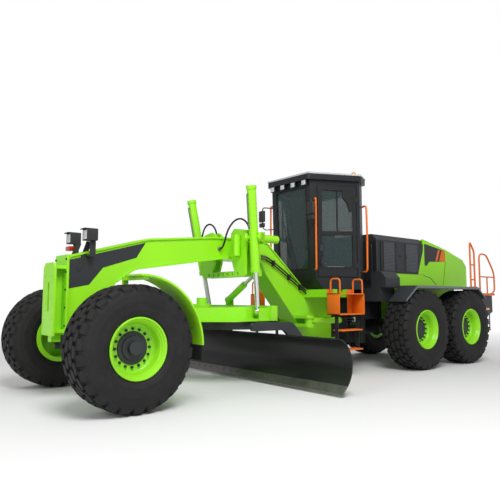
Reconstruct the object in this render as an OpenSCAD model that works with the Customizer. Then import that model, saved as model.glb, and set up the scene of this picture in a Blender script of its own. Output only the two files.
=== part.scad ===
// Motor grader with a gooseneck front frame, a tapered cab and an articulated rear frame on tandem wheels.
// Lengths are in millimetres, +X is forward, +Z is up and the ground is z = 0.

/* [Wheels] */
// Outside diameter of a tyre over its lugs
tyre_d = 1610; // [1520:5:1640]
// Width of a tyre
tyre_w = 600; // [520:5:620]
// Diameter over the rim flanges
rim_d = 790; // [740:5:820]
// Radius of the hub that carries a rim
hub_r = 120; // [100:5:135]
// Front axle to the middle wheels
wheelbase = 6440; // [6400:10:6600]
// Middle wheels to the rear wheels
tandem_spacing = 1750; // [1700:10:1900]
// Centre line to the middle of a front tyre
front_track = 1340; // [1320:5:1400]
// Centre line to the middle of a rear tyre
rear_track = 1290; // [1280:5:1350]
// Rear wheels to the end of the rear rails
rear_overhang = 1960; // [1900:10:2100]

/* [Front frame] */
// Width of the gooseneck box
neck_w = 400; // [360:5:420]
// Height of the gooseneck top over the blade
neck_top = 2490; // [2450:5:2560]
// Thickness of the flange plates
flange_t = 26; // [20:1:32]
// Overhang of the flange plates beside the box
flange_out = 24; // [15:1:26]
// Centre line to a kingpin
kingpin_y = 920; // [900:5:930]
// Radius of a kingpin
kingpin_r = 45; // [35:1:50]

/* [Blade] */
// Length of the moldboard
blade_len = 4880; // [4400:20:5000]
// Radius of the moldboard curve
blade_curve = 420; // [410:5:430]
// Thickness of the moldboard
blade_t = 25; // [18:1:28]
// Outside radius of the circle
circle_r = 850; // [830:5:870]
// Radius of a lift cylinder barrel
lift_barrel_r = 78; // [70:1:84]
// Radius of a lift cylinder rod
lift_rod_r = 42; // [36:1:46]

/* [Cab] */
// Height of the cab roof
cab_top = 3850; // [3700:10:3900]
// Thickness of the cab walls and doors
wall_t = 50; // [40:1:60]
// Thickness of the panes
glass_t = 10; // [6:1:14]

/* [Rear] */
// Height of the bonnet over the engine
bonnet_top = 2800; // [2700:10:2900]
// Thickness of the bonnet panels
panel_t = 30; // [20:1:40]
// Radius of the handrail tubes
rail_r = 19; // [15:1:22]

/* [Fits] */
// Radial clearance of a running fit
run_fit = 0.4; // [0.2:0.1:0.8]
// Clearance between parts that slide past each other
slide_fit = 0.5; // [0.3:0.1:1]

/* [Hidden] */
$fn = 48;

tyre_r = tyre_d / 2;
rim_r = rim_d / 2;
total_len = tyre_r + wheelbase + tandem_spacing + rear_overhang;
front_axle_x = total_len / 2 - tyre_r;
mid_x = -wheelbase;
rear_x = -wheelbase - tandem_spacing;
tail_x = rear_x - rear_overhang;
half = neck_w / 2;
flange_half = half + flange_out;

green = [0.57, 0.86, 0.12];
grey = [0.2, 0.22, 0.24];
black = [0.09, 0.1, 0.11];
orange = [0.9, 0.43, 0.06];
steel = [0.7, 0.72, 0.74];

// Outline helpers: corners [x, y, radius] become a polygon with rounded corners
function unit2(v) = v / norm(v);
function corner(a, p, b, r, n) =
    let (u = unit2(a - p), v = unit2(b - p), half_angle = acos(u * v) / 2, back = r / tan(half_angle),
        c = p + unit2(u + v) * r / sin(half_angle), s = p + u * back - c, e = p + v * back - c,
        a0 = atan2(s[1], s[0]), raw = atan2(e[1], e[0]) - a0, turn = raw > 180 ? raw - 360 : raw < -180 ? raw + 360 : raw)
    [for (i = [0:n]) c + r * [cos(a0 + turn * i / n), sin(a0 + turn * i / n)]];
function xy(p) = [p[0], p[1]];
function rounded(pts, n = 5) = let (m = len(pts))
    [for (i = [0:m - 1]) each pts[i][2] == 0 ? [xy(pts[i])]
        : corner(xy(pts[(i + m - 1) % m]), xy(pts[i]), xy(pts[(i + 1) % m]), pts[i][2], n)];

module along_y(w) {
    rotate([90, 0, 0])
        linear_extrude(w, center = true)
            children();
}

module along_x(w) {
    rotate([90, 0, 90])
        linear_extrude(w, center = true)
            children();
}

module box(x0, x1, y0, y1, z0, z1) {
    translate([x0, y0, z0])
        cube([x1 - x0, y1 - y0, z1 - z0]);
}

module both() {
    children();
    mirror([0, 1, 0])
        children();
}

module rod_between(p, q, r) {
    d = q - p;
    translate(p)
        rotate([0, acos(d[2] / norm(d)), atan2(d[1], d[0])])
            cylinder(h = norm(d), r = r);
}

module pipe(pts, r) {
    for (i = [0:len(pts) - 2])
        rod_between(pts[i], pts[i + 1], r);
    for (i = [1:len(pts) - 2])
        translate(pts[i])
            sphere(r = 1.05 * r);
}

module placed() {
    translate([front_axle_x, 0, 0])
        children();
}

// Front frame: nose, gooseneck, leg and tail with the articulation ears
neck_upper = [[400, 2030, 60], [-820, 2355, 900], [-2100, neck_top - 10, 900], [-3270, neck_top + 8, 300],
    [-4250, 1640, 250], [-4480, 1540, 150], [-5060, 1540, 0]];
neck_lower = [[-5060, 560, 0], [-4420, 560, 100], [-3255, 1890, 200], [-3170, 2100, 120], [-2290, 2112, 700],
    [-620, 1865, 200], [-270, 1620, 200], [-230, 930, 0], [400, 930, 80]];
top_line = rounded(concat([[400, 1000, 0]], neck_upper));
low_line = rounded(concat(neck_lower, [[400, 2030, 0]]));
pivot_z = 790;
hinge_x = -5300;
hinge_r = 55;
ear_z = [1400, 570];
ear_t = 60;
artic_y = 480;
artic_z = 1000;
artic_x0 = -4120;
artic_x1 = -5480;
ball = [-430, 0, 965];
ball_r = 65;
out_x = [-4350, -4780];
ladder_y = 950;

module neck_strip(pts, t) {
    n = len(pts);
    polygon(concat(pts, [for (i = [n - 1:-1:0]) pts[i] + [0, t]]));
}

module front_frame() {
    color(green) {
        difference() {
            union() {
                along_y(neck_w)
                    polygon(rounded(concat(neck_upper, neck_lower)));
                along_y(2 * flange_half) {
                    neck_strip([for (p = top_line) if (p[1] > 1545) p + [0, 4]], -flange_t * 1.2);
                    neck_strip([for (p = low_line) if (p[0] > -4410 && p[0] < -330) p - [0, 4]],
                        flange_t * 1.2);
                }
                for (x = [-195, 195])
                    translate([x, 0, 0])
                        along_x(70)
                            polygon(rounded([[-150, 990, 0], [-150, 640, 100], [150, 640, 100], [150, 990, 0]]));
                box(-430, -200, -110, 110, 880, 1080);
                for (x = out_x)
                    box(x - 60, x + 60, -ladder_y, ladder_y, 1450, cab_floor - 0.3);
                for (z = ear_z)
                    translate([0, 0, z])
                        linear_extrude(ear_t)
                            union() {
                                translate([hinge_x, 0])
                                    circle(r = 140);
                                translate([hinge_x, -140])
                                    square([300, 280]);
                            }
                both()
                    translate([artic_x0, 0, artic_z - 110])
                        linear_extrude(60)
                            polygon(rounded([[130, 100, 0], [90, artic_y + 80, 60], [-80, artic_y + 80, 60],
                                [-250, 100, 0]]));
                both()
                    translate([artic_x0, 0, artic_z + 50])
                        linear_extrude(60)
                            polygon(rounded([[130, 100, 0], [90, artic_y + 80, 60], [-80, artic_y + 80, 60],
                                [-250, 100, 0]]));
            }
            translate(ball)
                sphere(r = ball_r + run_fit);
            translate([0, 0, pivot_z])
                rotate([0, 90, 0])
                    cylinder(h = 600, r = 60 + run_fit, center = true);
            translate([hinge_x, 0, 0])
                cylinder(h = 2000, r = hinge_r + run_fit);
            both()
                translate([artic_x0, artic_y, artic_z])
                    cylinder(h = 300, r = 40 + run_fit, center = true);
        }
    }
}

// Push plate: bracket bolted to the nose, with four bolt holes and a slot
push_x = 600;
push_y = 150;
push_z = [1130, 1730];
push_hole_r = 13;

module push_plate() {
    color(green)
        difference() {
            union() {
                box(400, 430, -228, 228, 920, 2045);
                box(425, 575, -60, 60, 960, 1880);
                box(425, 575, -200, 200, 950, 1000);
                box(425, 575, -200, 200, 1840, 1890);
                translate([push_x - 15, 0, 0])
                    along_x(30)
                        polygon([[-228, 910], [228, 910], [228, 1860], [150, 1930], [-150, 1930], [-228, 1860]]);
                box(430, 560, -70, 70, 820, 960);
            }
            for (y = [-push_y, push_y], z = push_z)
                translate([push_x, y, z])
                    rotate([0, 90, 0])
                        cylinder(h = 80, r = push_hole_r, center = true);
            box(500, 700, -35, 35, 1250, 1650);
        }
}

// Front axle: bowed beam on a pivot pin, with an eye at each end and the steering cylinder behind it
tie_x = -230;
tie_z = 600;

module front_axle() {
    color(grey)
        difference() {
            union() {
                along_x(240)
                    polygon(rounded([[-860, 700, 0], [-300, 640, 200], [300, 640, 200], [860, 700, 0], [860, 890, 0],
                        [300, 860, 200], [-300, 860, 200], [-860, 890, 0]]));
                translate([0, 0, pivot_z])
                    rotate([0, 90, 0])
                        cylinder(h = 560, r = 60, center = true);
                for (s = [-1, 1])
                    translate([0, s * kingpin_y, 690])
                        cylinder(h = 230, r = 85);
                for (s = [-1, 1])
                    box(-75, 75, min(s * 840, s * kingpin_y), max(s * 840, s * kingpin_y), 700, 890);
                for (s = [-1, 1])
                    translate([-158, s * 480, 725])
                        rotate([90, 0, 0])
                            cylinder(h = 560, r = 45, center = true);
            }
            for (s = [-1, 1])
                translate([0, s * kingpin_y, 0])
                    cylinder(h = 2000, r = kingpin_r + run_fit);
        }
}

// Knuckles: fork around the axle eye, kingpin, hub and steering arm
disc_y = 40;
disc_t = 30;

module knuckle() {
    wheel_y = front_track - kingpin_y;
    translate([0, kingpin_y, 0])
        color(grey) {
            for (z = [625, 925])
                translate([0, 0, z])
                    linear_extrude(60)
                        polygon(rounded([[-85, -85, 80], [85, -85, 80], [110, 140, 0], [-110, 140, 0]]));
            box(-110, 110, 95, 140, 625, 985);
            translate([0, 0, 630])
                cylinder(h = 350, r = kingpin_r);
            translate([0, 130, tyre_r])
                rotate([-90, 0, 0])
                    cylinder(h = wheel_y + disc_y + disc_t / 2 - 129, r = hub_r);
            translate([0, wheel_y + disc_y + disc_t / 2 + 1, tyre_r])
                rotate([-90, 0, 0])
                    cylinder(h = 45, r = hub_r + 30);
            translate([0, wheel_y + disc_y + disc_t / 2 + 40, tyre_r])
                rotate([-90, 0, 0])
                    cylinder(h = 70, r = 85);
            translate([0, 0, 625])
                linear_extrude(40)
                    polygon(rounded([[-60, -80, 0], [60, -60, 0], [60, 0, 0], [tie_x - 45, -20, 40], [tie_x - 45, -110, 40]]));
        }
}

module left_knuckle() {
    knuckle();
}

module right_knuckle() {
    mirror([0, 1, 0])
        knuckle();
}

// Front fenders: arc over the rear of the tyre with a flap, on a strut from the knuckle
fender_r = tyre_r + 100;
fender_w = 450;

module fender() {
    y1 = front_track + tyre_w / 2;
    color(green) {
        translate([0, y1 - fender_w / 2, tyre_r])
            along_y(fender_w)
                difference() {
                    circle(r = fender_r + 25, $fn = 96);
                    circle(r = fender_r, $fn = 96);
                    translate([20, -2000])
                        square([3000, 4000]);
                    translate([-2000, -2000])
                        square([4000, 2000]);
                }
        box(-fender_r - 22, -fender_r - 4, y1 - fender_w + 20, y1 - 20, 600, tyre_r + 20);
        box(-120, -40, kingpin_y + 60, kingpin_y + 95, 985, tyre_r + fender_r - 12);
        box(-120, -40, kingpin_y + 60, y1 - 60, tyre_r + fender_r - 45, tyre_r + fender_r + 8);
    }
}

module left_fender() {
    fender();
}

module right_fender() {
    mirror([0, 1, 0])
        fender();
}

// Tie rod: bar between the steering arms, its eyes under the arms
module tie_rod() {
    color(steel) {
        translate([tie_x, 0, tie_z])
            rotate([90, 0, 0])
                cylinder(h = 2 * kingpin_y - 130, r = 24, center = true);
        both()
            translate([tie_x, kingpin_y - 65, tie_z - 26])
                cylinder(h = 50.6, r = 42);
    }
}

// Wheels: axis along Y through the wheel centre, the dished side outwards
bead_r = rim_r - 45;
rim_half = tyre_w / 2 - 35;

lugs = 16;
lug_half = 6.8;
lug_h = 45;
sides = 20;

function polar(r, a) = r * [cos(a), sin(a)];
function lug_ring(r) = [for (i = [0:lugs - 1]) let (a = i * 360 / lugs)
    each [polar(r - lug_h, a - lug_half - 1.5), polar(r, a - lug_half), polar(r, a + lug_half),
        polar(r - lug_h, a + lug_half + 1.5)]];

module tread(y0, y1, turn) {
    translate([0, (y0 + y1) / 2, 0])
        along_y(y1 - y0)
            rotate(turn)
                difference() {
                    polygon(lug_ring(tyre_r / cos(180 / lugs - lug_half)));
                    circle(r = tyre_r - 105, $fn = sides);
                }
}

module tyre() {
    w = tyre_w / 2;
    f = 1 / cos(180 / sides);
    p = [[f * (bead_r + 0.4), rim_half - 42], [f * (rim_r + 0.6), rim_half - 29], [(rim_r + tyre_r) / 2, w],
        [tyre_r - 55, w - 45]];
    ring = concat(p, [for (i = [len(p) - 1:-1:0]) [p[i][0], -p[i][1]]]);
    n = len(ring);
    color(black) {
        polyhedron([for (i = [0:sides - 1], q = ring) let (c = polar(q[0], i * 360 / sides)) [c[0], q[1], c[1]]],
            [for (i = [0:sides - 1], k = [0:n - 1]) let (j = (i + 1) % sides, m = (k + 1) % n)
                [i * n + m, j * n + m, j * n + k, i * n + k]]);
        tread(6, w - 35, 0);
        tread(35 - w, -6, 180 / lugs);
    }
}

module rim() {
    color(green)
        rotate([-90, 0, 0])
            rotate_extrude($fn = 96)
                polygon([[bead_r - 28, -rim_half], [rim_r, -rim_half], [rim_r, -rim_half + 27], [bead_r, -rim_half + 40],
                    [bead_r, rim_half - 40], [rim_r, rim_half - 27], [rim_r, rim_half], [bead_r - 28, rim_half],
                    [bead_r - 28, disc_y + disc_t / 2], [hub_r + run_fit, disc_y + disc_t / 2],
                    [hub_r + run_fit, disc_y - disc_t / 2], [bead_r - 28, disc_y - disc_t / 2]]);
}

module wheel_at(x, y) {
    translate([x, y, tyre_r])
        rotate([0, 0, y > 0 ? 0 : 180])
            children();
}

module front_left_tyre() { wheel_at(0, front_track) tyre(); }
module front_right_tyre() { wheel_at(0, -front_track) tyre(); }
module middle_left_tyre() { wheel_at(mid_x, rear_track) tyre(); }
module middle_right_tyre() { wheel_at(mid_x, -rear_track) tyre(); }
module rear_left_tyre() { wheel_at(rear_x, rear_track) tyre(); }
module rear_right_tyre() { wheel_at(rear_x, -rear_track) tyre(); }
module front_left_rim() { wheel_at(0, front_track) rim(); }
module front_right_rim() { wheel_at(0, -front_track) rim(); }
module middle_left_rim() { wheel_at(mid_x, rear_track) rim(); }
module middle_right_rim() { wheel_at(mid_x, -rear_track) rim(); }
module rear_left_rim() { wheel_at(rear_x, rear_track) rim(); }
module rear_right_rim() { wheel_at(rear_x, -rear_track) rim(); }

// Lift cylinders: each swings on pins in a yoke of the saddle
lift_eye = [-2670, 700, 1210];
lift_top = [-2360, 900, 3300];
lift_v = lift_top - lift_eye;
lift_tilt = acos(lift_v[2] / norm(lift_v));
lift_turn = atan2(lift_v[1], lift_v[0]);
trunnion_z = 2450;
lift_pin = lift_eye + lift_v * (trunnion_z - lift_eye[2]) / lift_v[2];
lift_down = norm(lift_pin - lift_eye);
lift_up = norm(lift_top - lift_pin);
gland = 590;
yoke_gap = lift_barrel_r + 17;
yoke_t = 40;
pin_r = 38;

module at_lift_pin() {
    translate(lift_pin)
        rotate([0, 0, lift_turn])
            children();
}

module lift_barrel() {
    color(green)
        at_lift_pin()
            rotate([0, lift_tilt, 0])
                difference() {
                    union() {
                        translate([0, 0, -gland])
                            cylinder(h = gland + lift_up, r = lift_barrel_r);
                        translate([0, 0, -gland])
                            cylinder(h = 70, r = lift_barrel_r + 9);
                        translate([0, 0, lift_up - 60])
                            cylinder(h = 60, r = lift_barrel_r + 9);
                        rotate([90, 0, 0])
                            cylinder(h = 2 * (yoke_gap + yoke_t) + 16, r = pin_r, center = true);
                    }
                    translate([0, 0, -gland - 1])
                        cylinder(h = gland + lift_up - 30, r = lift_rod_r + slide_fit);
                }
}

module lift_rod() {
    color(steel)
        at_lift_pin()
            rotate([0, lift_tilt, 0]) {
                translate([0, 0, -lift_down])
                    cylinder(h = lift_down + 400, r = lift_rod_r);
                translate([0, 0, -lift_down])
                    sphere(r = 72);
            }
}

module left_lift_barrel() { lift_barrel(); }
module right_lift_barrel() { mirror([0, 1, 0]) lift_barrel(); }
module left_lift_rod() { lift_rod(); }
module right_lift_rod() { mirror([0, 1, 0]) lift_rod(); }

// Lift saddle: plates across the gooseneck sides, bosses, yokes and the link bar below
saddle_x = [-2620, -2470];
link_z = 1800;
link_pin = [-2735, 560, 1850];
link_ball_r = 45;
boss_y = 625;

module saddle_side() {
    for (x = saddle_x)
        translate([x, 0, 0])
            along_x(40)
                polygon(rounded([[half, 2160, 0], [half, 2430, 0], [flange_half + 8, 2430, 0], [flange_half + 8, 2560, 0],
                    [330, 2640, 60], [600, 2600, 80], [685, 2440, 80], [640, 2200, 120], [640, link_z, 60],
                    [330, link_z, 0], [330, 1900, 0], [flange_half + 40, 2060, 0], [flange_half + 8, 2160, 0]]));
    translate([-2900, boss_y, 2470])
        rotate([0, 90, 0])
            cylinder(h = 560, r = 70, center = true);
    at_lift_pin() {
        difference() {
            union() {
                for (s = [-1, 1])
                    translate([0, s * (yoke_gap + yoke_t / 2), 0])
                        along_y(yoke_t)
                            union() {
                                circle(r = 75);
                                translate([-200, -75])
                                    square([200, 150]);
                            }
                box(-200, -150, -yoke_gap - yoke_t, yoke_gap + yoke_t, -100, 100);
            }
            rotate([90, 0, 0])
                cylinder(h = 600, r = pin_r + run_fit, center = true);
        }
    }
    box(-2650, -2560, boss_y - 40, 760, 2400, 2540);
    translate([saddle_x[1] + 75, 470, 2150])
        cylinder(h = 350, r = 60);
    translate([saddle_x[1] + 75, 470, 2490])
        cylinder(h = 30, r = 42);
}

module lift_saddle() {
    color(green)
        difference() {
            union() {
                both()
                    saddle_side();
                for (x = saddle_x)
                    box(x - 20, x + 20, -400, 400, link_z, link_z + 100);
                box(link_pin[0] - link_ball_r - 28, saddle_x[0], link_pin[1] + link_ball_r + 8,
                    link_pin[1] + link_ball_r + 40, link_pin[2] - 40, link_pin[2] + 60);
                box(link_pin[0] - link_ball_r - 28, link_pin[0] - link_ball_r - 3, link_pin[1] - 50,
                    link_pin[1] + link_ball_r + 40, link_pin[2] - 40, link_pin[2] + 60);
            }
            for (y = [-420:140:420])
                translate([saddle_x[0] - 100, y, link_z + 50])
                    rotate([0, 90, 0])
                        cylinder(h = 400, r = 26);
        }
}

// Drawbar: A frame on a ball, cross beam, circle plate, bearing ring and circle drive
circle_x = -2625;
plate_z = 1050;
ring_z0 = 920;
ring_z1 = 1040;
shift_pin = [-2840, -350, 1400];
shift_turn = 29.96;
shift_dip = 5.46;
beam_x = -2800;

module at_shift_pin() {
    translate(shift_pin)
        rotate([0, shift_dip, shift_turn])
            children();
}

module drawbar() {
    color(green)
        difference() {
            union() {
                translate(ball)
                    sphere(r = ball_r);
                translate(ball)
                    rotate([0, -90, 0])
                        cylinder(h = 140, r = 48);
                intersection() {
                    along_y(4000)
                        polygon([[-530, 890], [-530, 1035], [-1000, 1265], [-2930, 1288], [-2930, plate_z], [-1100, plate_z]]);
                    linear_extrude(3000)
                        difference() {
                            polygon([[-530, 75], [-2500, 600], [-2930, 600], [-2930, -600], [-2500, -600], [-530, -75]]);
                            polygon(rounded([[-1050, 0, 40], [-2560, 420, 60], [-2560, -420, 60]]));
                        }
                }
                box(beam_x - 140, beam_x, -900, 900, plate_z + 2, 1306);
                both() {
                    for (s = [-1, 1])
                        box(beam_x - 20, -2600, lift_eye[1] + s * 112 - 12, lift_eye[1] + s * 112 + 12, plate_z + 4, 1270);
                    box(beam_x - 24, -2604, lift_eye[1] - 118, lift_eye[1] + 118, plate_z + 6, plate_z + 40);
                }
                translate([0, 0, plate_z])
                    linear_extrude(26)
                        polygon(rounded([[-1500, 340, 150], [-2100, 860, 250], [-3120, 860, 250], [-3120, -860, 250],
                            [-2100, -860, 250], [-1500, -340, 150]]));
                translate([circle_x, 0, 0])
                    rotate_extrude($fn = 96)
                        polygon([[circle_r - 160, plate_z + 5], [circle_r - 160, 970], [circle_r - 88, 970],
                            [circle_r - 88, ring_z1 - 35 - slide_fit], [circle_r - 115, ring_z1 - 35 - slide_fit],
                            [circle_r - 115, plate_z + 5]]);
                translate([circle_x + circle_r - 230, 0, ring_z0 + 4])
                    cylinder(h = 36, r = 98);
                translate([circle_x + circle_r - 230, 0, ring_z0 + 20])
                    cylinder(h = 200, r = 60);
                translate([circle_x + circle_r - 230, 0, plate_z + 20])
                    cylinder(h = 260, r = 170);
                translate([circle_x + circle_r - 230, 0, plate_z + 270])
                    cylinder(h = 120, r = 90);
                at_shift_pin()
                    translate([-58, 0, 0])
                        along_x(50)
                            union() {
                                circle(r = 70);
                                translate([-70, -150])
                                    square([140, 150]);
                            }
            }
            translate([circle_x, 0, plate_z - 10])
                cylinder(h = 60, r = circle_r - 420);
            at_shift_pin()
                rotate([0, 90, 0])
                    cylinder(h = 300, r = 32 + run_fit, center = true);
            translate(ball)
                rotate([90, 0, 0])
                    cylinder(h = 4 * ball_r, r = 18, center = true);
        }
}

// Centre-shift cylinder: barrel on the drawbar, its rod reaching the link bar
shift_v = link_pin - shift_pin;
shift_len = norm(shift_v);

module at_shift() {
    translate(shift_pin)
        rotate([0, acos(shift_v[2] / shift_len), atan2(shift_v[1], shift_v[0])])
            children();
}

module shift_barrel() {
    color(green) {
        difference() {
            at_shift()
                difference() {
                    translate([0, 0, 40])
                        cylinder(h = 590, r = 58);
                    translate([0, 0, 120])
                        cylinder(h = 600, r = 32 + slide_fit);
                }
            at_shift_pin()
                box(-200, -28, -110, 110, -200, 100);
        }
        at_shift_pin()
            rotate([0, 90, 0])
                cylinder(h = 56, r = 60, center = true);
        at_shift_pin()
            translate([-88, 0, 0])
                rotate([0, 90, 0])
                    cylinder(h = 70, r = 32);
    }
}

module shift_rod() {
    color(steel)
        at_shift() {
            translate([0, 0, 330])
                cylinder(h = shift_len - 330, r = 32);
            translate([0, 0, shift_len])
                sphere(r = link_ball_r);
        }
}

// Circle: toothed ring under the drawbar with the two arms that carry the blade
arm_y = 960;
arm_t = 60;
tip_x = -3300;
tip_z = 330;
tip_r = 55;

module turn_circle() {
    color(grey)
        difference() {
            union() {
                translate([circle_x, 0, 0])
                    rotate_extrude($fn = 96)
                        polygon([[circle_r - 120, ring_z0], [circle_r, ring_z0], [circle_r, ring_z1], [circle_r - 110, ring_z1],
                            [circle_r - 110, ring_z1 - 35], [circle_r - 80, ring_z1 - 35], [circle_r - 80, ring_z0 + 42],
                            [circle_r - 120, ring_z0 + 42]]);
                both() {
                    translate([0, arm_y + arm_t / 2, 0])
                        along_y(arm_t)
                            polygon(rounded([[-2230, 1030, 60], [-3180, 1030, 200], [-3450, 760, 200], [-3420, 225, 110],
                                [-3205, 225, 90], [-3200, 700, 200], [-2980, 900, 120], [-2300, 900, 60]]));
                    box(-2800, -2450, circle_r - 62, arm_y + 20, 925, 1035);
                }
            }
            translate([tip_x, 0, tip_z])
                rotate([90, 0, 0])
                    cylinder(h = 4000, r = tip_r + run_fit, center = true);
        }
}

// Blade carriage: tube in the arms, plates with shoes around the rails, side-shift barrel
blade_c = [-2580, 450];
bottom_a = 223.6;
top_a = 117;
rail_x = [-3085, -2985];
rail_up = [590, 650];
rail_low = [300, 360];
carriage_y = 760;
shift_barrel_x = -3150;
side_rod_r = 26;

module blade_carriage() {
    color(grey)
        difference() {
            union() {
                translate([tip_x, 0, tip_z])
                    rotate([90, 0, 0])
                        cylinder(h = 2 * (arm_y + arm_t) + 12, r = tip_r, center = true);
                both()
                    translate([0, carriage_y, 0])
                        along_y(70)
                            polygon([[-3385, 270], [-3385, 420], [-3220, 720], [-3010, 720], [-3010, 657], [-3092, 657],
                                [-3092, 293], [-3020, 293], [-3020, 245], [-3350, 245]]);
                translate([shift_barrel_x, 0, 480])
                    rotate([90, 0, 0])
                        cylinder(h = 2 * carriage_y - 40, r = 48, center = true);
                box(-3230, -3170, -carriage_y, carriage_y, 640, 700);
            }
            translate([shift_barrel_x, -20, 480])
                rotate([90, 0, 0])
                    cylinder(h = 2 * carriage_y + 200, r = side_rod_r + slide_fit, center = true);
        }
}

// Moldboard: rolled plate with its rails and the side-shift rod
module sector(r0, r1, a0, a1) {
    difference() {
        circle(r = r1, $fn = 96);
        circle(r = r0, $fn = 96);
        polygon([[0, 0], 2000 * [cos(a0), sin(a0)], 3000 * [cos((a0 + a1 - 360) / 2), sin((a0 + a1 - 360) / 2)],
            2000 * [cos(a1), sin(a1)]]);
        polygon([[0, 0], 2000 * [cos(a0), sin(a0)], 2000 * [cos(a0 - 60), sin(a0 - 60)], 2000 * [1, 0]]);
        polygon([[0, 0], 2000 * [cos(a1), sin(a1)], 2000 * [cos(a1 + 60), sin(a1 + 60)], 2000 * [1, 0]]);
    }
}

module moldboard() {
    color(black) {
        translate([blade_c[0], 0, blade_c[1]])
            along_y(blade_len)
                sector(blade_curve, blade_curve + blade_t, top_a, bottom_a);
        box(rail_x[0] + 8, blade_c[0] - blade_curve + 21, -1600, 1600, rail_up[0], rail_up[1]);
        box(rail_x[0] + 8, blade_c[0] - blade_curve + 6, -1600, 1600, rail_low[0], rail_low[1]);
        box(shift_barrel_x - 30, blade_c[0] - blade_curve - 4, 1540, 1600, 435, 525);
        translate([shift_barrel_x, 1600, 480])
            rotate([90, 0, 0])
                cylinder(h = 1580, r = side_rod_r);
    }
}

// Cutting edges: bar bolted under the moldboard
module cutting_edges() {
    color(steel)
        translate([blade_c[0], 0, blade_c[1]])
            along_y(blade_len)
                rotate(bottom_a)
                    translate([blade_curve - 6, slide_fit])
                        square([30, 150]);
}

// Cab: hollow shell with raked front and tapered sides, windows cut
cab_floor = 1600;
roof_t = 130;
shell_top = cab_top - roof_t;
side_slope = 26.3;
cab_wide = [-5050, 1000];
cab_back = [-5350, 820];

function cab_plan(d) = let (k = tan(side_slope), s = d / cos(side_slope))
    [[-4050 - d, cab_wide[1] - k * (1000 - d) - s], [cab_wide[0] - 0.2 * d, cab_wide[1] - 0.9 * s],
        [cab_back[0] + d, cab_back[1] - 0.75 * d], [cab_back[0] + d, -cab_back[1] + 0.75 * d],
        [cab_wide[0] - 0.2 * d, -cab_wide[1] + 0.9 * s], [-4050 - d, -cab_wide[1] + k * (1000 - d) + s]];
function cab_side(d) = [[-4362 - d, cab_floor + d], [-4245 - d, 1780], [-4215 - d, 1920], [-4120 - d, shell_top - d],
    [-5400, shell_top - d], [-5400, cab_floor + d]];

module cab_solid(d) {
    intersection() {
        linear_extrude(5000)
            polygon(cab_plan(d));
        along_y(4000)
            polygon(cab_side(d));
    }
}

module windscreen_cut() {
    polygon(rounded([[-430, 1990, 60], [430, 1990, 60], [430, shell_top - 120, 60], [-430, shell_top - 120, 60]]));
}

module rear_window_cut() {
    polygon(rounded([[-640, 2150, 60], [640, 2150, 60], [640, shell_top - 150, 60], [-640, shell_top - 150, 60]]));
}

door_x = [70, 880];
door_z = [1840, shell_top - 90];

module at_door() {
    translate([cab_wide[0], cab_wide[1], 0])
        rotate([0, 0, -side_slope])
            children();
}

module cab_shell() {
    color(grey)
        difference() {
            cab_solid(0);
            cab_solid(wall_t);
            translate([-4100, 0, 0])
                along_x(600)
                    windscreen_cut();
            translate([-5350, 0, 0])
                along_x(300)
                    rear_window_cut();
            both()
                at_door()
                    box(door_x[0] - 10, door_x[1] + 10, -140, 100, door_z[0] - 10, door_z[1] + 10);
        }
}

module cab_roof() {
    color(grey)
        translate([0, 0, shell_top])
            linear_extrude(roof_t)
                polygon(rounded([[-4040, 590, 60], [-5030, 1060, 100], [-5420, 860, 80], [-5420, -860, 80],
                    [-5030, -1060, 100], [-4040, -590, 60]]));
}

module cab_glass() {
    color([0.3, 0.5, 0.5, 0.5]) {
        intersection() {
            translate([-4100, 0, 0])
                along_x(600)
                    windscreen_cut();
            along_y(1000)
                polygon([[-4215 - 20, 1920], [-4120 - 20, shell_top], [-4120 - 20 - glass_t, shell_top],
                    [-4215 - 20 - glass_t, 1920]]);
        }
        translate([-5350 + wall_t / 2, 0, 0])
            along_x(glass_t)
                rear_window_cut();
    }
}

module door_pane() {
    translate([0, -wall_t / 2, 0])
        along_y(wall_t + 20)
            polygon(rounded([[door_x[0] + 70, 2010, 50], [door_x[1] - 70, 2010, 50],
                [door_x[1] - 70, door_z[1] - 80, 50], [door_x[0] + 70, door_z[1] - 80, 50]]));
}

hinge_d = 12;

module door() {
    color(grey)
        at_door() {
            difference() {
                box(door_x[0], door_x[1], -wall_t, 0, door_z[0], door_z[1]);
                door_pane();
            }
            for (z = [door_z[0] + 160, door_z[1] - 330]) {
                translate([door_x[0] - 14, hinge_d, z])
                    cylinder(h = 120, r = hinge_d - slide_fit);
                box(door_x[0] - 14, door_x[0] + 60, 1, hinge_d + 4, z + 10, z + 110);
                box(door_x[0] + 20, door_x[0] + 60, -4, 3, z + 10, z + 110);
            }
        }
}

module door_glass() {
    color([0.3, 0.5, 0.5, 0.5])
        at_door()
            intersection() {
                door_pane();
                box(0, 1200, -wall_t / 2 - glass_t / 2, -wall_t / 2 + glass_t / 2, 0, 5000);
            }
}

module left_door() { door(); }
module right_door() { mirror([0, 1, 0]) door(); }
module left_door_glass() { door_glass(); }
module right_door_glass() { mirror([0, 1, 0]) door_glass(); }

// Operator seat with the armrest pods and the steering column in front of it
module operator_seat() {
    z = cab_floor + wall_t;
    color(black) {
        box(-5050, -4720, -180, 180, z, z + 350);
        box(-5100, -4600, -260, 260, z + 340, z + 500);
        along_y(500)
            polygon([[-5100, z + 490], [-4980, z + 490], [-5080, z + 1150], [-5200, z + 1150]]);
        both()
            box(-5000, -4500, 300, 400, z + 600, z + 700);
        both()
            box(-5000, -4900, 250, 320, z + 480, z + 620);
        box(-4560, -4440, -70, 70, z, z + 80);
        rod_between([-4490, 0, z + 60], [-4540, 0, z + 750], 45);
        translate([-4540, 0, z + 740])
            rotate([0, -12, 0])
                cylinder(h = 35, r = 190);
    }
}

// Cab ladders: stepped boxes below the doors, hung on the outriggers
ladder_x = [-4830, -4120];
ladder_out = 1250;

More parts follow.
